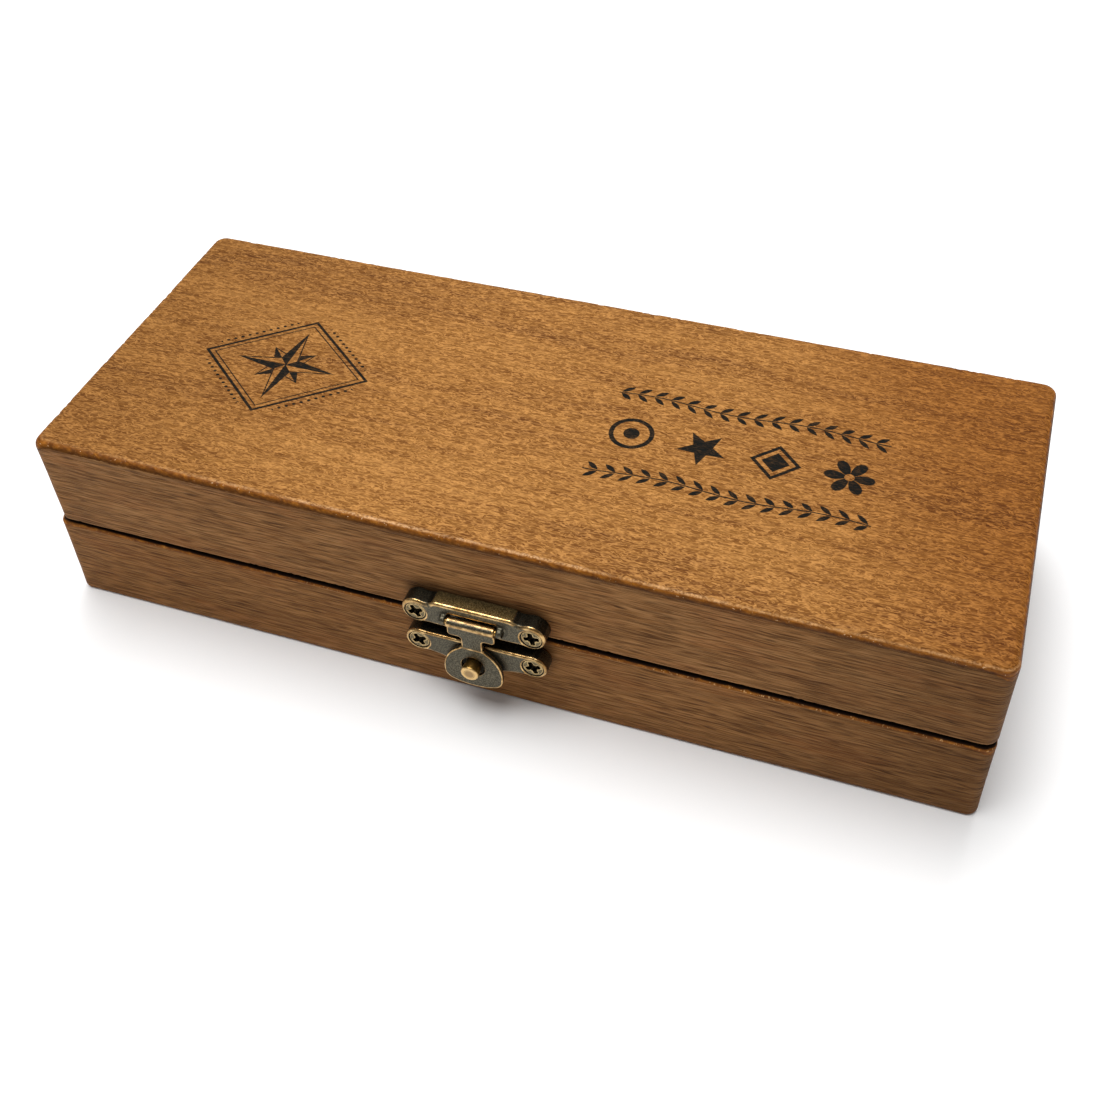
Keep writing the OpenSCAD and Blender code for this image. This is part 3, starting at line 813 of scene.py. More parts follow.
# ---- the generic ink print: a star in a lozenge, and a row of small shapes between two sprigs
def ink_mask(g, x, y, rough):
    soft = 0.06

    def fill(dist):
        """1 inside, 0 outside, from a distance that is positive inside."""
        return g.m("ADD", g.mul(g.add(dist, rough), 1 / (2 * soft)), 0.5, clamp=True)

    def band(dist, at, width):
        """A line where dist is near at."""
        return fill(g.sub(width / 2, g.absv(g.sub(dist, at))))

    # star in a lozenge
    px, py = g.sub(x, -57.0), g.sub(y, -1.5)
    r = g.length(px, py)
    ang = g.m("ARCTAN2", py, px)
    fx, fy = g.absv(px), g.absv(py)
    loz = g.mul(g.sub(15.6, g.add(g.mul(fx, 0.82), fy)), 0.773)
    parts = [band(loz, 0.4, 0.62), band(loz, 1.55, 0.26)]
    along = g.mul(g.sub(g.mul(fx, 0.82), fy), 0.773)
    dots = g.mul(g.sub(g.m("FRACT", g.mul(along, 1 / 1.5)), 0.5), 1.5)
    dot = fill(g.sub(0.34, g.length(dots, g.add(loz, 1.1))))
    parts.append(g.mul(dot, g.remap(g.absv(along), 8.2, 8.25, 1.0, 0.0)))

    def star(tip, inner, turn, width):
        a = g.add(ang, turn)
        wrapped = g.sub(g.mul(g.m("FRACT", g.add(g.mul(a, 2 / math.pi), 0.5)), math.pi / 2), math.pi / 4)
        fold = g.absv(wrapped)
        qx, qy = g.mul(r, g.m("COSINE", fold)), g.mul(r, g.m("SINE", fold))
        bx, by = inner * math.cos(math.pi / 4), inner * math.sin(math.pi / 4)
        ex, ey = bx - tip, by
        ln = math.hypot(ex, ey)
        nx, ny = -ey / ln, ex / ln
        dist = g.add(g.mul(g.sub(qx, tip), nx), g.mul(qy, ny))
        inside = fill(dist)
        rim = band(dist, width / 2, width)
        half = g.remap(wrapped, -0.004, 0.004)
        spine = fill(g.sub(width / 2, qy))
        return g.maxi(g.mul(inside, half), g.maxi(g.mul(inside, spine), rim)), dist
    short, d_short = star(6.9, 2.9, math.pi / 4, 0.26)
    long_, d_long = star(11.2, 2.8, 0.0, 0.28)
    covered = g.remap(d_long, -0.05, 0.05)
    parts.append(g.maxi(long_, g.mul(short, g.sub(1.0, covered))))

    def sprig(x0, y0, length, flip):
        """Leafy twig along x from x0, growing to the right, or to the left with flip."""
        sx = g.mul(g.sub(x, x0), flip)
        curve = g.mul(g.m("SINE", g.mul(sx, 0.2)), 0.55)
        sy = g.sub(g.sub(y, y0), curve)
        inside = g.mul(g.remap(sx, 0.0, 0.15), g.remap(sx, length, length + 0.15, 1.0, 0.0))
        stem = g.mul(fill(g.sub(0.15, g.absv(sy))), inside)
        cell = g.mul(g.m("FRACT", g.mul(sx, 1 / 3.4)), 3.4)
        lx, ly = g.sub(cell, 1.75), g.sub(g.absv(sy), 1.12)
        ca, sa = math.cos(math.radians(38)), math.sin(math.radians(38))
        la = g.mul(g.add(g.mul(lx, ca), g.mul(ly, sa)), 1 / 1.5)
        lb = g.sub(g.mul(ly, ca), g.mul(lx, sa))
        leaf = g.sub(g.mul(g.sub(1.0, g.mul(la, la)), 0.52), g.absv(lb))
        leaf = g.mul(fill(leaf), g.mul(g.remap(sx, 0.3, 0.35), g.remap(sx, length - 0.3, length - 0.25, 1.0, 0.0)))
        return g.maxi(stem, leaf)
    parts += [sprig(12.0, 10.4, 54.4, 1.0), sprig(66.4, -12.6, 54.4, -1.0)]

    def local(qx, qy):
        a, b_ = g.sub(x, qx), g.sub(y, qy)
        return a, b_, g.length(a, b_)
    a, b_, q = local(18.0, -1.0)
    parts += [band(q, 4.0, 0.95), fill(g.sub(1.6, q))]
    a, b_, q = local(32.2, -1.2)
    th = g.m("ARCTAN2", a, b_)
    w = g.absv(g.sub(g.mul(g.m("FRACT", g.add(g.mul(th, 5 / (2 * math.pi)), 0.5)), 2 * math.pi / 5), math.pi / 5))
    w = g.sub(math.pi / 5, w)
    sx_, sy_ = g.mul(q, g.m("COSINE", w)), g.mul(q, g.m("SINE", w))
    R, ri = 5.0, 2.05
    bx, by = ri * math.cos(math.pi / 5), ri * math.sin(math.pi / 5)
    ln = math.hypot(bx - R, by)
    parts.append(fill(g.add(g.mul(g.sub(sx_, R), -by / ln), g.mul(sy_, (bx - R) / ln))))
    a, b_, q = local(46.4, -1.0)
    dia = g.mul(g.sub(5.0, g.add(g.absv(a), g.absv(b_))), 0.707)
    parts += [band(dia, 0.4, 0.75), fill(g.sub(dia, 1.6))]
    a, b_, q = local(60.4, -1.0)
    th = g.m("ARCTAN2", b_, a)
    pet = g.mul(g.m("SQRT", g.absv(g.m("COSINE", g.mul(th, 3.0)))), 4.8)
    flower = g.mul(g.sub(pet, q), 0.45)
    parts.append(g.mul(fill(flower), g.remap(q, 0.9, 1.0)))
    total = parts[0]
    for p in parts[1:]:
        total = g.maxi(total, p)
    return total


INK = lin(13, 14, 12)
STAIN_AND_GAP_SHADE = lin(30, 15, 6)


def fibres(g, gx, ga, gb, sx, sy, wave1, wave2, seed, gaps=1.0):
    """Thin wavy fibres along gx: (light lines, dark lines beside them, fine grain), each 0 to 1. gaps sets how much they break up."""
    wa = g.sub(g.noise(g.vec(g.add(g.mul(gx, wave1[0]), seed), g.mul(ga, wave1[1]), g.mul(gb, wave1[1])), 1.0, 1.5), 0.5)
    wb = g.sub(g.noise(g.vec(g.add(g.mul(gx, wave2[0]), seed + 9), g.mul(ga, wave2[1]), g.mul(gb, wave2[1])), 1.0, 1.0), 0.5)
    push = g.add(g.mul(wa, wave1[2]), g.mul(wb, wave2[2]))
    a, b_ = g.add(ga, push), g.add(gb, push)

    def lines(kx, ky, shift, width):
        n = g.noise(g.vec(g.add(g.mul(gx, sx * kx), seed + shift), g.mul(a, sy * ky), g.mul(b_, sy * ky)), 1.0, 1.0, 0.5)

        def near(level):
            return g.m("SUBTRACT", 1.0, g.mul(g.absv(g.sub(n, level)), 1 / width), clamp=True)
        return near(0.48), near(0.48 + width * 1.4)
    l1, d1 = lines(1.0, 1.0, 0.0, 0.070)
    l2, d2 = lines(1.5, 1.6, 31.0, 0.075)
    breaks = g.noise(g.vec(g.add(g.mul(gx, sx * 2.4), seed + 71), g.mul(a, sy * 0.8), g.mul(b_, sy * 0.8)), 1.0, 1.0, 0.5)
    light = g.mul(g.maxi(l1, l2), g.remap(breaks, 0.38, 0.60, 1.0 - 0.85 * gaps, 1.0))
    dark = g.mul(g.maxi(d1, d2), g.remap(breaks, 0.40, 0.62, 1.0, 1.0 - 0.7 * gaps))
    fine = g.noise(g.vec(g.add(g.mul(gx, sx * 3.0), seed + 57), g.mul(a, sy * 3.4), g.mul(b_, sy * 3.4)), 1.0, 1.0, 0.5)
    return light, dark, fine


def plan_depth(g, x, y):
    """How far a point lies inside the box's rounded outline, and how far it is from the nearest vertical corner."""
    ax, ay = g.absv(x), g.absv(y)
    qx, qy = g.sub(ax, x1 - CORNER), g.sub(ay, y1 - CORNER)
    outside = g.length(g.maxi(qx, 0.0), g.maxi(qy, 0.0))
    inside = g.mini(g.maxi(qx, qy), 0.0)
    inward = g.sub(CORNER, g.add(outside, inside))
    corner = g.maxi(g.sub(x1, ax), g.sub(y1, ay))
    return inward, corner


def side_colour(g, p, x, y, z):
    """Stained outer face of the walls: grain runs around the box."""
    gx = g.add(x, y)
    zero = 0.0
    band1 = g.noise(g.vec(g.mul(gx, 0.012), g.mul(z, 0.20), zero), 1.0, 3.0, 0.6)
    patch = g.noise(g.vec(g.mul(gx, 0.05), g.mul(z, 0.35), 3.0), 1.0, 2.0)
    light, dark, fine = fibres(g, gx, z, z, 0.060, 1.45, (0.05, 0.20, 1.2), (0.22, 0.7, 0.30), 11.0, 0.6)
    zz = g.add(z, g.mul(g.sub(patch, 0.5), 1.0))
    dash = g.noise(g.vec(g.mul(gx, 0.22), g.mul(zz, 4.2), 9.0), 1.0, 0.0, 0.5)
    dash = g.remap(dash, 0.64, 0.74)
    tone = g.add(g.mul(g.sub(band1, 0.5), 0.8), g.mul(g.sub(patch, 0.5), 0.6))
    tone = g.add(tone, g.mul(g.sub(fine, 0.5), 1.6))
    tone = g.m("ADD", tone, 0.5, clamp=True)
    col = g.ramp(tone, [(0.0, lin(95, 58, 28)), (0.35, lin(122, 81, 43)), (0.65, lin(141, 97, 55)), (1.0, lin(166, 120, 74))])
    hue =g.noise(g.vec(g.mul(gx, 0.05), g.mul(z, 0.16), 7.0), 1.0, 2.0)
    col = g.mix(g.remap(hue, 0.46, 0.68, 0.0, 0.38), col, lin(138, 84, 44))
    col = g.mix(g.mul(dark, 0.74), col, lin(50, 29, 12))
    col = g.mix(g.mul(light, 0.36), col, lin(194, 146, 96))
    col = g.mix(g.mul(dash, 0.45), col, lin(40, 22, 8))
    # painted shade: darker towards the right end
    shade = g.remap(x, 38.0, 98.0, 0.0, 0.54)
    col = g.mix(shade, col, g.mix(1.0, col, (0.35, 0.33, 0.30), "MULTIPLY"))
    lower = g.mul(g.remap(z, 20.6, 20.9, 1.0, 0.0), g.remap(x, -80.0, 0.0, 0.75, 0.32))
    col = g.mix(lower, col, g.mix(1.0, col, (0.86, 0.80, 0.70), "MULTIPLY"))
    h = g.sub(g.add(g.mul(light, 0.5), g.mul(fine, 0.2)), g.add(g.mul(dark, 0.5), g.mul(dash, 0.6)))
    return col, h, fine


def rim_colour(g, p, x, y, z):
    """Glossy, more orange finish of the rounded edges."""
    n = g.noise(g.vec(g.mul(g.add(x, y), 0.55), g.mul(g.sub(x, y), 0.25), g.mul(z, 1.9)), 1.0, 3.0, 0.62)
    t = g.m("ADD", g.mul(g.sub(n, 0.5), 1.7), 0.5, clamp=True)
    return g.ramp(t, [(0.0, lin(70, 34, 3)), (0.4, lin(110, 60, 10)), (0.75, lin(150, 90, 22)), (1.0, lin(196, 134, 56))])


def rim_line(g, x, y, corner):
    """Height of the border between the flat face and the glossy rim under the top."""
    curl = g.m("POWER", g.m("SUBTRACT", 1.0, g.mul(corner, 1 / 4.8), clamp=True), 2.0)
    wob = g.mul(g.sub(g.noise(g.vec(g.mul(g.add(x, y), 0.9), g.mul(g.sub(x, y), 0.2), 0.0), 1.0, 3.0, 0.65), 0.5), 0.55)
    front = g.remap(y, -36.0, -34.0, 1.0, 0.0)
    slant = g.sub(40.62, g.mul(g.mul(x, front), 0.0057))
    return g.sub(g.add(slant, wob), g.mul(curl, 2.6)), curl, wob, front


def top_material():
    g = Graph("top_wood_stained")
    p = g.coords()
    x, y, z = g.xyz(p)
    inward, corner = plan_depth(g, x, y)
    band1 = g.noise(g.vec(g.mul(x, 0.010), g.mul(y, 0.10), g.mul(z, 0.1)), 1.0, 3.0, 0.6)
    band2 = g.noise(g.vec(g.add(g.mul(x, 0.028), 5.0), g.mul(y, 0.38), g.mul(z, 0.38)), 1.0, 2.0, 0.55)
    patch = g.noise(g.vec(g.mul(x, 0.10), g.mul(y, 0.22), g.mul(z, 0.22)), 1.0, 2.0)
    light, dark, fine = fibres(g, x, y, z, 0.26, 1.55, (0.22, 0.42, 2.2), (0.7, 1.1, 0.6), 3.0, 0.5)
    streak = g.noise(g.vec(g.add(g.mul(x, 0.06), 17.0), g.mul(y, 0.95), g.mul(z, 0.95)), 1.0, 2.0, 0.55)
    tone = g.add(g.mul(g.sub(band1, 0.5), 1.4), g.mul(g.sub(band2, 0.5), 1.1))
    tone = g.add(tone, g.mul(g.sub(patch, 0.5), 0.35))
    tone = g.add(tone, g.mul(g.sub(streak, 0.5), 1.1))
    tone = g.add(tone, g.mul(g.sub(fine, 0.5), 1.05))
    tone = g.m("ADD", tone, 0.5, clamp=True)
    col = g.ramp(tone, [(0.0, lin(96, 55, 17)), (0.35, lin(119, 74, 27)), (0.65, lin(135, 88, 36)), (1.0, lin(154, 106, 52))])
    col = g.mix(g.mul(dark, 0.44), col, lin(80, 39, 6))
    col = g.mix(g.mul(light, 0.58), col, lin(216, 156, 88))
    # painted shade: darker towards the left end
    pale = g.remap(x, -95.0, -15.0, 0.55, 0.0)
    col = g.mix(pale, col, g.mix(1.0, col, (0.60, 0.56, 0.50), "MULTIPLY"))
    # painted shade: darker and redder towards the back right
    shade = g.remap(g.add(x, g.mul(y, 0.35)), 38.0, 92.0, 0.0, 0.60)
    col = g.mix(shade, col, g.mix(1.0, col, (0.52, 0.32, 0.04), "MULTIPLY"))
    # rounded rim: darker and more orange, with painted shade towards its lower edge and a painted highlight along its
    # ridge
    q = g.add(z, inward)
    en = g.noise(p, 0.9, 3.0, 0.65)
    line, curl, wob, front = rim_line(g, x, y, corner)
    ridge = g.sub(g.add(42.65, g.mul(g.sub(en, 0.5), 0.35)), g.mul(g.mul(x, front), 0.0107))
    below = g.sub(ridge, q)
    rim = g.remap(below, -0.15, 0.75)
    rcol = rim_colour(g, p, x, y, z)
    # painted shade towards the rim's lower edge
    rcol = g.mix(g.mul(g.remap(g.sub(z, line), 0.1, 1.0, 1.0, 0.0), 0.75), rcol, lin(38, 18, 3))
    col = g.mix(g.mul(rim, 0.92), col, rcol)
    # painted highlight: pale band along the rim's ridge
    ridge_highlight = g.m("SUBTRACT", 1.0, g.mul(g.absv(below), 1 / 0.55), clamp=True)
    patchy = g.noise(g.vec(g.mul(x, 0.12), g.mul(y, 0.12), g.mul(z, 0.3)), 1.0, 2.0, 0.5)
    grit = g.noise(p, 2.2, 2.0, 0.6)
    ridge_highlight = g.mul(g.mul(ridge_highlight, g.remap(grit, 0.30, 0.62)), g.remap(patchy, 0.34, 0.60, 0.25, 1.0))
    ridge_highlight = g.mul(ridge_highlight, g.mul(front, g.remap(x, -75.0, -5.0, 0.22, 1.0)))
    ridge_highlight = g.mul(ridge_highlight, g.remap(x, 40.0, 90.0, 1.0, 0.5))
    col = g.mix(g.mul(ridge_highlight, 0.8), col, lin(236, 184, 128))
    chip = g.mul(g.remap(g.noise(p, 1.6, 2.0, 0.7), 0.66, 0.74), g.mul(rim, g.remap(g.sub(z, line), 0.2, 0.6)))
    col = g.mix(g.mul(chip, g.mul(front, 0.8)), col, lin(236, 196, 150))
    scol, sh, sfine = side_colour(g, p, x, y, z)
    flat = g.remap(g.sub(line, z), -0.12, 0.10)
    # painted shade on the face just under the rim
    scol = g.mix(g.mul(g.remap(g.sub(line, z), 0.0, 1.3, 1.0, 0.0), 0.30), scol, lin(52, 30, 12))
    col = g.mix(flat, col, scol)
    # ink
    rough = g.mul(g.sub(g.noise(p, 2.6, 2.0), 0.5), 0.14)
    mask = g.mul(ink_mask(g, x, y, rough), g.remap(z, H - 0.12, H - 0.05))
    solid = g.remap(g.add(g.mul(light, 0.5), g.mul(fine, 0.5)), 0.30, 0.75, 1.0, 0.92)
    mask = g.mul(mask, solid)
    col = g.mix(mask, col, INK)
    g.set(Base_Color=col)
    gloss = g.mul(rim, g.mul(g.sub(1.0, flat), g.remap(g.sub(z, line), 0.1, 0.9, 0.35, 1.0)))
    ro = g.remap(fine, 0.3, 0.7, 0.58, 0.48, smooth=False)
    g.set(Roughness=g.add(ro, g.mul(mask, 0.12)))
    g.bsdf.inputs["IOR"].default_value = 1.45
    g.bsdf.inputs["Specular IOR Level"].default_value = 0.08
    g.set(Coat_Weight=g.m("ADD", g.mul(gloss, 0.10), g.mul(ridge_highlight, 0.35), clamp=True))
    g.bsdf.inputs["Coat Roughness"].default_value = 0.24
    h = g.sub(g.add(g.mul(light, 0.6), g.mul(fine, 0.25)), g.mul(dark, 0.6))
    nrm = g.bump(g.mul(h, g.sub(1.0, g.mul(rim, 0.6))), 0.05)
    hh = g.mul(g.noise(p, 1.5, 3.0, 0.65), gloss)
    g.set(Normal=g.bump(hh, 0.14, 1.0, nrm))
    return g.mat


def side_material():
    g = Graph("side_wood_stained")
    p = g.coords()
    x, y, z = g.xyz(p)
    inward, corner = plan_depth(g, x, y)
    col, h, fine = side_colour(g, p, x, y, z)
    line, curl, wob, front = rim_line(g, x, y, corner)
    on_lid = g.remap(z, 20.7, 20.8)
    m1 = g.mul(g.remap(g.sub(z, line), -0.10, 0.12), on_lid)
    base_line = g.sub(g.add(19.50, g.mul(wob, 0.9)), g.mul(curl, 1.7))
    m2 = g.mul(g.remap(g.sub(z, base_line), -0.12, 0.15), g.sub(1.0, on_lid))
    foot_line = g.add(g.add(0.8, wob), g.mul(curl, 1.0))
    m3 = g.remap(g.sub(foot_line, z), -0.4, 0.4)
    em = g.maxi(m1, g.maxi(m2, g.mul(m3, 0.6)))
    # painted shade on the face just under the rim
    shade_under_rim = g.mul(g.remap(g.sub(line, z), 0.0, 1.3, 1.0, 0.0), 0.30)
    col = g.mix(shade_under_rim, col, lin(52, 30, 12))
    col = g.mix(g.mul(em, 0.85), col, rim_colour(g, p, x, y, z))
    # painted highlight along the lid's lower edge, bright chips on the base's lip
    low_edge_highlight = g.mul(g.mul(g.remap(z, 21.25, 21.45), g.remap(z, 21.6, 22.0, 1.0, 0.0)), 0.22)
    col = g.mix(low_edge_highlight, col, lin(190, 142, 92))
    cn = g.noise(p, 2.0, 2.0, 0.65)
    lip = g.mul(g.remap(z, 19.5, 19.75), g.remap(z, 20.0, 20.15, 1.0, 0.0))
    lip = g.mul(lip, g.remap(x, -60.0, 10.0, 0.15, 0.85))
    col = g.mix(g.mul(lip, g.remap(cn, 0.58, 0.66)), col, lin(208, 160, 104))
    # painted shade on the wood around the latch
    gu = g.sub(g.absv(g.sub(x, LATCH_X)), 11.3)
    gz = g.sub(g.absv(g.sub(z, 20.0)), 6.2)
    latch_shade = g.sub(g.length(g.maxi(gu, 0.0), g.maxi(gz, 0.0)), 0.4)
    latch_shade = g.mul(g.remap(g.add(latch_shade, g.mul(g.sub(fine, 0.5), 1.6)), -0.6, 4.4, 1.0, 0.0), g.remap(y, -37.5, -37.0, 1.0, 0.0))
    col = g.mix(g.mul(latch_shade, 0.85), col, lin(22, 11, 4))
    # dark in the seam: stain, and painted shade of the gap
    lifted = g.sub(z, g.remap(x, -94.0, -55.0, 0.16, 0.0))
    deep = g.mul(g.remap(lifted, 19.95, 20.18), g.remap(z, 21.30, 21.5, 1.0, 0.0))
    stain_and_gap_shade = g.mul(deep, g.remap(inward, 4.0, 5.5, 1.0, 0.25))
    col = g.mix(stain_and_gap_shade, col, STAIN_AND_GAP_SHADE)
    g.set(Base_Color=col)
    g.set(Roughness=g.remap(fine, 0.3, 0.7, 0.62, 0.52, smooth=False))
    g.bsdf.inputs["IOR"].default_value = 1.45
    g.bsdf.inputs["Specular IOR Level"].default_value = 0.06
    g.set(Coat_Weight=g.mul(g.mul(em, g.sub(1.0, stain_and_gap_shade)), 0.10))
    g.bsdf.inputs["Coat Roughness"].default_value = 0.22
    g.set(Normal=g.bump(h, 0.05))
    return g.mat


def rim_material(name, axis):
    """Level faces of the walls: dark at the seam, from stain and painted shade of the gap, paler towards the inside."""
    g = Graph(name)
    p = g.coords()
    x, y, z = g.xyz(p)
    gx, gy = (x, y) if axis == 0 else (y, x)
    inward, corner = plan_depth(g, x, y)
    light, dark, fine = fibres(g, gx, gy, z, 0.06, 1.45, (0.06, 0.2, 1.2), (0.3, 0.7, 0.3), 47.0 + axis * 30, 0.6)
    band1 = g.noise(g.vec(g.mul(gx, 0.03), g.mul(gy, 0.4), g.mul(z, 0.4)), 1.0, 3.0, 0.6)
    tone = g.add(g.mul(g.sub(band1, 0.5), 1.0), g.mul(g.sub(fine, 0.5), 0.6))
    tone = g.m("ADD", tone, 0.5, clamp=True)
    col = g.ramp(tone, [(0.0, lin(92, 57, 28)), (0.35, lin(117, 79, 42)), (0.65, lin(135, 94, 53)), (1.0, lin(156, 113, 69))])
    col = g.mix(g.mul(dark, 0.5), col, lin(50, 29, 12))
    col = g.mix(g.mul(light, 0.25), col, lin(190, 144, 94))
    wander = g.mul(g.sub(g.noise(g.vec(g.mul(gx, 0.18), g.mul(gy, 0.6), 2.0), 1.0, 3.0, 0.6), 0.5), 3.0)
    stain_and_gap_shade = g.mul(g.remap(g.add(inward, wander), 3.4, 7.0, 1.0, 0.45), g.remap(z, 10.0, 12.0))
    col = g.mix(stain_and_gap_shade, col, STAIN_AND_GAP_SHADE)
    g.set(Base_Color=col)
    g.set(Roughness=g.remap(fine, 0.3, 0.7, 0.66, 0.56, smooth=False))
    g.bsdf.inputs["IOR"].default_value = 1.45
    g.bsdf.inputs["Specular IOR Level"].default_value = 0.10
    g.set(Normal=g.bump(g.sub(g.mul(light, 0.4), g.mul(dark, 0.5)), 0.04))
    return g.mat


def raw_material(name, axis):
    """Unfinished wood inside the box."""
    g = Graph(name)
    p = g.coords()
    x, y, z = g.xyz(p)
    gx, gy = (x, y) if axis == 0 else (y, x)
    band1 = g.noise(g.vec(g.mul(gx, 0.012), g.mul(gy, 0.16), g.mul(z, 0.16)), 1.0, 3.0, 0.6)
    patch = g.noise(g.vec(g.mul(gx, 0.05), g.mul(gy, 0.3), g.mul(z, 0.3)), 1.0, 2.0)
    light, dark, fine = fibres(g, gx, gy, z, 0.07, 1.0, (0.06, 0.2, 2.0), (0.3, 0.7, 0.35), 23.0 + axis * 40)
    tone = g.add(g.mul(g.sub(band1, 0.5), 1.0), g.mul(g.sub(patch, 0.5), 0.5))
    tone = g.add(tone, g.mul(g.sub(fine, 0.5), 0.4))
    tone = g.m("ADD", tone, 0.5, clamp=True)
    col = g.ramp(tone, [(0.0, lin(136, 92, 48)), (0.4, lin(164, 120, 70)), (0.7, lin(182, 138, 86)), (1.0, lin(204, 164, 112))])
    col = g.mix(g.mul(dark, 0.45), col, lin(104, 64, 30))
    col = g.mix(g.mul(light, 0.3), col, lin(214, 176, 124))
    g.set(Base_Color=col)
    g.set(Roughness=g.remap(fine, 0.3, 0.7, 0.66, 0.56, smooth=False))
    g.bsdf.inputs["IOR"].default_value = 1.45
    g.bsdf.inputs["Specular IOR Level"].default_value = 0.25
    h = g.sub(g.mul(light, 0.5), g.mul(dark, 0.7))
    g.set(Normal=g.bump(h, 0.05))
    return g.mat


top_wood = top_material()
side_wood = side_material()
raw_x = raw_material("inside_wood_x", 0)
raw_y = raw_material("inside_wood_y", 1)
rim_x = rim_material("rim_wood_x", 0)
rim_y = rim_material("rim_wood_y", 1)


def metal_material(name, patina, brass, wear_lo, wear_hi, rough_p, rough_b, mottle=0.5, slot_dark=0.92, rings=False):
    g = Graph(name)
    p = g.coords()
    cv = g.attr("curve")
    n1 = g.noise(p, 0.8, 4.0, 0.6)
    n2 = g.noise(p, 3.6, 3.0, 0.6)
    n3 = g.noise(p, 9.0, 2.0, 0.5)
    wear = g.remap(g.add(cv, g.add(g.mul(g.sub(n1, 0.5), 0.30), g.mul(g.sub(n2, 0.5), 0.14))), wear_lo, wear_hi)
    dirt_and_shade = g.remap(cv, -0.75, -0.10, 1.0, 0.0)
    speck = g.remap(g.add(g.mul(n2, 0.55), g.mul(n3, 0.45)), 0.42, 0.60)
    pat = g.mix(speck, patina[0], patina[1])
    br = g.mix(g.remap(n1, 0.35, 0.65), brass[0], brass[1])
    blend = g.maxi(wear, g.mul(g.remap(g.add(g.mul(n2, 0.6), g.mul(n3, 0.4)), 0.55, 0.70), mottle))
    col = g.mix(blend, pat, br)
    if rings:
        # turned end of the post: pale rim, greyer middle with faint rings
        x, y, z = g.xyz(p)
        r = g.length(g.sub(x, LATCH_X), g.sub(z, POST_Z))
        end = g.remap(y, -W / 2 - 6.82, -W / 2 - 6.7, 1.0, 0.0)
        ring = g.mul(g.m("SINE", g.mul(r, 16.0)), 0.12)
        face = g.mix(g.remap(g.add(r, ring), 0.85, 1.15), lin(150, 124, 88), lin(226, 190, 130))
        col = g.mix(g.mul(end, 0.85), col, face)
    # darkest in hollows and slots: dirt, and painted shade in the countersinks
    col = g.mix(g.mul(dirt_and_shade, slot_dark), col, lin(8, 6, 4))
    # duller speckled skin on the upper wall of the lid's plate, with painted shade towards the wood behind it
    dull = g.remap(cv, 2.5, 4.5)
    skin = g.mix(g.remap(g.add(g.mul(n2, 0.5), g.mul(n3, 0.5)), 0.46, 0.64), lin(86, 71, 40), lin(172, 146, 96))
    back = g.remap(g.xyz(p)[1], -W / 2 - 2.9, -W / 2 - 0.6)
    col = g.mix(dull, col, g.mix(g.mul(back, 0.55), skin, lin(34, 27, 16)))
    g.set(Base_Color=col)
    g.set(Metallic=g.sub(1.0, g.mul(dull, 0.6)))
    rough = g.add(g.remap(blend, 0.0, 1.0, rough_p, rough_b, smooth=False), g.mul(g.sub(n3, 0.5), 0.14))
    g.set(Roughness=g.add(rough, g.mul(dirt_and_shade, 0.08)))
    h = g.add(g.mul(n2, 0.5), g.mul(n3, 0.5))
    g.set(Normal=g.bump(h, 0.035))
    return g.mat


antique = metal_material("antique_brass", (lin(62, 59, 49), lin(106, 100, 84)), (lin(150, 114, 66), lin(214, 178, 122)), 0.14, 0.46, 0.42, 0.22, 0.16)
aged = metal_material("aged_brass", (lin(84, 75, 55), lin(130, 116, 86)), (lin(150, 126, 84), lin(194, 168, 120)), 0.2, 0.9, 0.34, 0.22, 0.35)
bright = metal_material("rubbed_brass", (lin(146, 112, 54), lin(184, 146, 82)), (lin(190, 150, 84), lin(228, 194, 130)), 0.2, 1.0, 0.34, 0.18, 0.4, rings=True)
hinge_metal = metal_material("hinge_brass", (lin(120, 96, 50), lin(160, 130, 76)), (lin(190, 152, 88), lin(220, 186, 124)), 0.3, 1.1, 0.42, 0.30, 0.3)
steel = metal_material("dull_steel", (lin(92, 86, 78), lin(136, 130, 122)), (lin(160, 152, 140), lin(190, 184, 174)), 0.3, 1.1, 0.45, 0.32, 0.3)


def two_sided_wood(ob, outside, inside, inner_test, level=None):
    """Raw wood on the faces that look into the box, and another grain on the level ones."""
    me = ob.data
    me.materials.append(outside)
    me.materials.append(inside)
    if level:
        me.materials.append(level)
    n = len(me.polygons)
    nor = np.empty(n * 3, np.float32)
    cen = np.empty(n * 3, np.float32)
    me.polygons.foreach_get("normal", nor)
    me.polygons.foreach_get("center", cen)
    idx = inner_test(cen.reshape(-1, 3) * 1000, nor.reshape(-1, 3)).astype(np.int32)
    if level:
        idx[np.abs(nor.reshape(-1, 3)[:, 2]) > 0.995] = 2
    me.polygons.foreach_set("material_index", idx)


tests = {
    "front": lambda c_, n: (n[:, 1] > 0.6),
    "back": lambda c_, n: (n[:, 1] < -0.6) & (c_[:, 1] < yi + 0.3),
    "left": lambda c_, n: (n[:, 0] > 0.6),
    "right": lambda c_, n: (n[:, 0] < -0.6),
}
for node, ob in wood.items():
    kind = "base" if node.startswith("base") else "lid"
    if node == "lid_top_board":
        two_sided_wood(ob, top_wood, raw_x, lambda c_, n: (n[:, 2] < -0.6))
    elif node == "base_bottom_board":
        ob.data.materials.append(raw_x)
    else:
        side = [k for k in tests if k in node][0]
        lengthwise = side in ("front", "back")
        two_sided_wood(ob, side_wood, raw_x if lengthwise else raw_y, tests[side], rim_x if lengthwise else rim_y)
    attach(ob, kind)
    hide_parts(node)

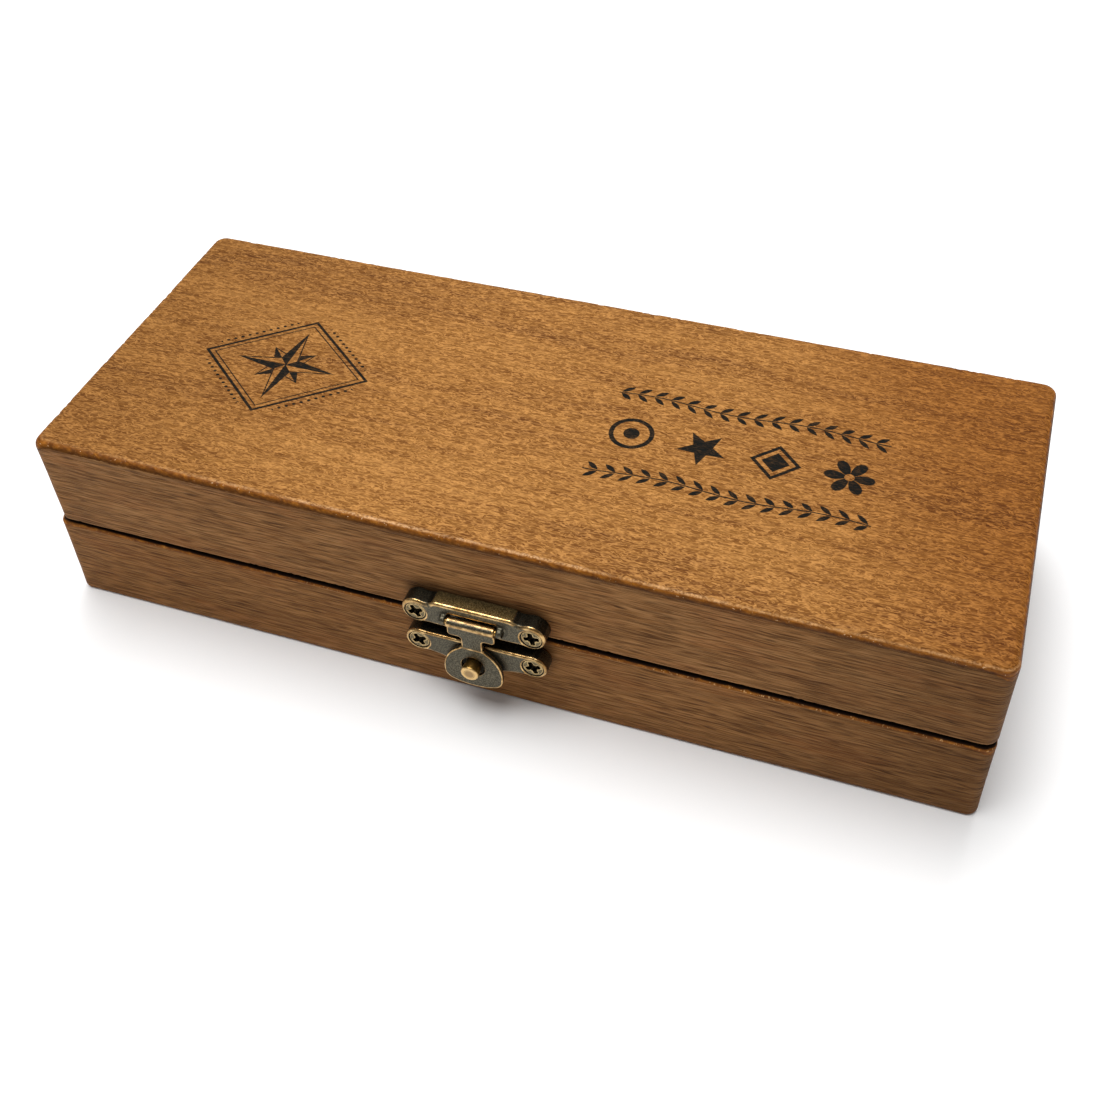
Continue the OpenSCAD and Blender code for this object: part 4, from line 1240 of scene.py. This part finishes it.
looks = {
    "latch_lid_plate": (antique, "antique_brass", "lid"),
    "latch_keeper_plate": (antique, "antique_brass", "base"),
    "latch_tongue": (antique, "antique_brass", "tongue"),
    "latch_lid_screws": (aged, "bright_brass", "lid"),
    "latch_keeper_screws": (aged, "bright_brass", "base"),
    "latch_keeper_post": (bright, "bright_brass", "base"),
    "latch_pivot_pin": (bright, "bright_brass", "lid"),
    "left_hinge_base_leaf": (hinge_metal, "hinge_brass", "base"),
    "right_hinge_base_leaf": (hinge_metal, "hinge_brass", "base"),
    "left_hinge_lid_leaf": (hinge_metal, "hinge_brass", "lid"),
    "right_hinge_lid_leaf": (hinge_metal, "hinge_brass", "lid"),
    "left_hinge_pin": (steel, "steel_pin", "base"),
    "right_hinge_pin": (steel, "steel_pin", "base"),
    "hinge_base_nails": (hinge_metal, "hinge_brass", "base"),
    "hinge_lid_nails": (hinge_metal, "hinge_brass", "lid"),
}
for node, (mat, slot, body) in looks.items():
    ob = metal[node]
    ob.data.materials.clear()
    ob.data.materials.append(mat)
    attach(ob, body)
    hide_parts(node)

# ------------------------------------------------------------------ floor, light, camera
floor = new_object("floor", [(-2500, -2500, 0), (2500, -2500, 0), (2500, 2500, 0), (-2500, 2500, 0)], [(0, 1, 2, 3)], smooth=False)
fg = Graph("floor_white")
fg.set(Base_Color=fg.mix(fg.noise(fg.coords(), 0.01, 2.0), (0.90, 0.90, 0.90), (0.915, 0.915, 0.915)))
fg.bsdf.inputs["Roughness"].default_value = 0.7
floor.data.materials.append(fg.mat)


def area(name, loc, target, size, power, colour=(1, 1, 1), size_y=None):
    li = bpy.data.lights.new(name, "AREA")
    li.energy = power
    li.color = colour
    li.size = size
    if size_y:
        li.shape = "RECTANGLE"
        li.size_y = size_y
    ob = bpy.data.objects.new(name, li)
    bpy.context.scene.collection.objects.link(ob)
    ob.location = loc
    ob.rotation_euler = (Vector(target) - Vector(loc)).to_track_quat("-Z", "Y").to_euler()
    return ob


area("softbox", (-0.399, 0.486, 2.4), (-0.399, 0.486, 0.0), 1.55, 99.0, size_y=3.09)

world = bpy.data.worlds.new("studio")
bpy.context.scene.world = world
world.use_nodes = True
world.node_tree.nodes["Background"].inputs["Color"].default_value = (1, 1, 1, 1)
world.node_tree.nodes["Background"].inputs["Strength"].default_value = 0.27

R = [(0.9436922, 0.3292334, -0.0324097), (0.2019389, -0.6508662, -0.7318428), (-0.2620415, 0.6840895, -0.6807023)]
cam_data = bpy.data.cameras.new("camera")
cam = bpy.data.objects.new("camera", cam_data)
bpy.context.scene.collection.objects.link(cam)
cam_data.sensor_width = 36.0
cam_data.lens = 36.0 * 1389.01 / 1098.0
cam_data.shift_y = -77.0 / 1098.0
cam_data.clip_start = 0.01
right, down, forward = (Vector(r) for r in R)
rot = Matrix((right, -down, -forward)).transposed().to_4x4()
cam.matrix_world = Matrix.Translation((0.075179, -0.196044, 0.220972)) @ rot
bpy.context.scene.camera = cam
bpy.context.scene.view_settings.view_transform = "Standard"
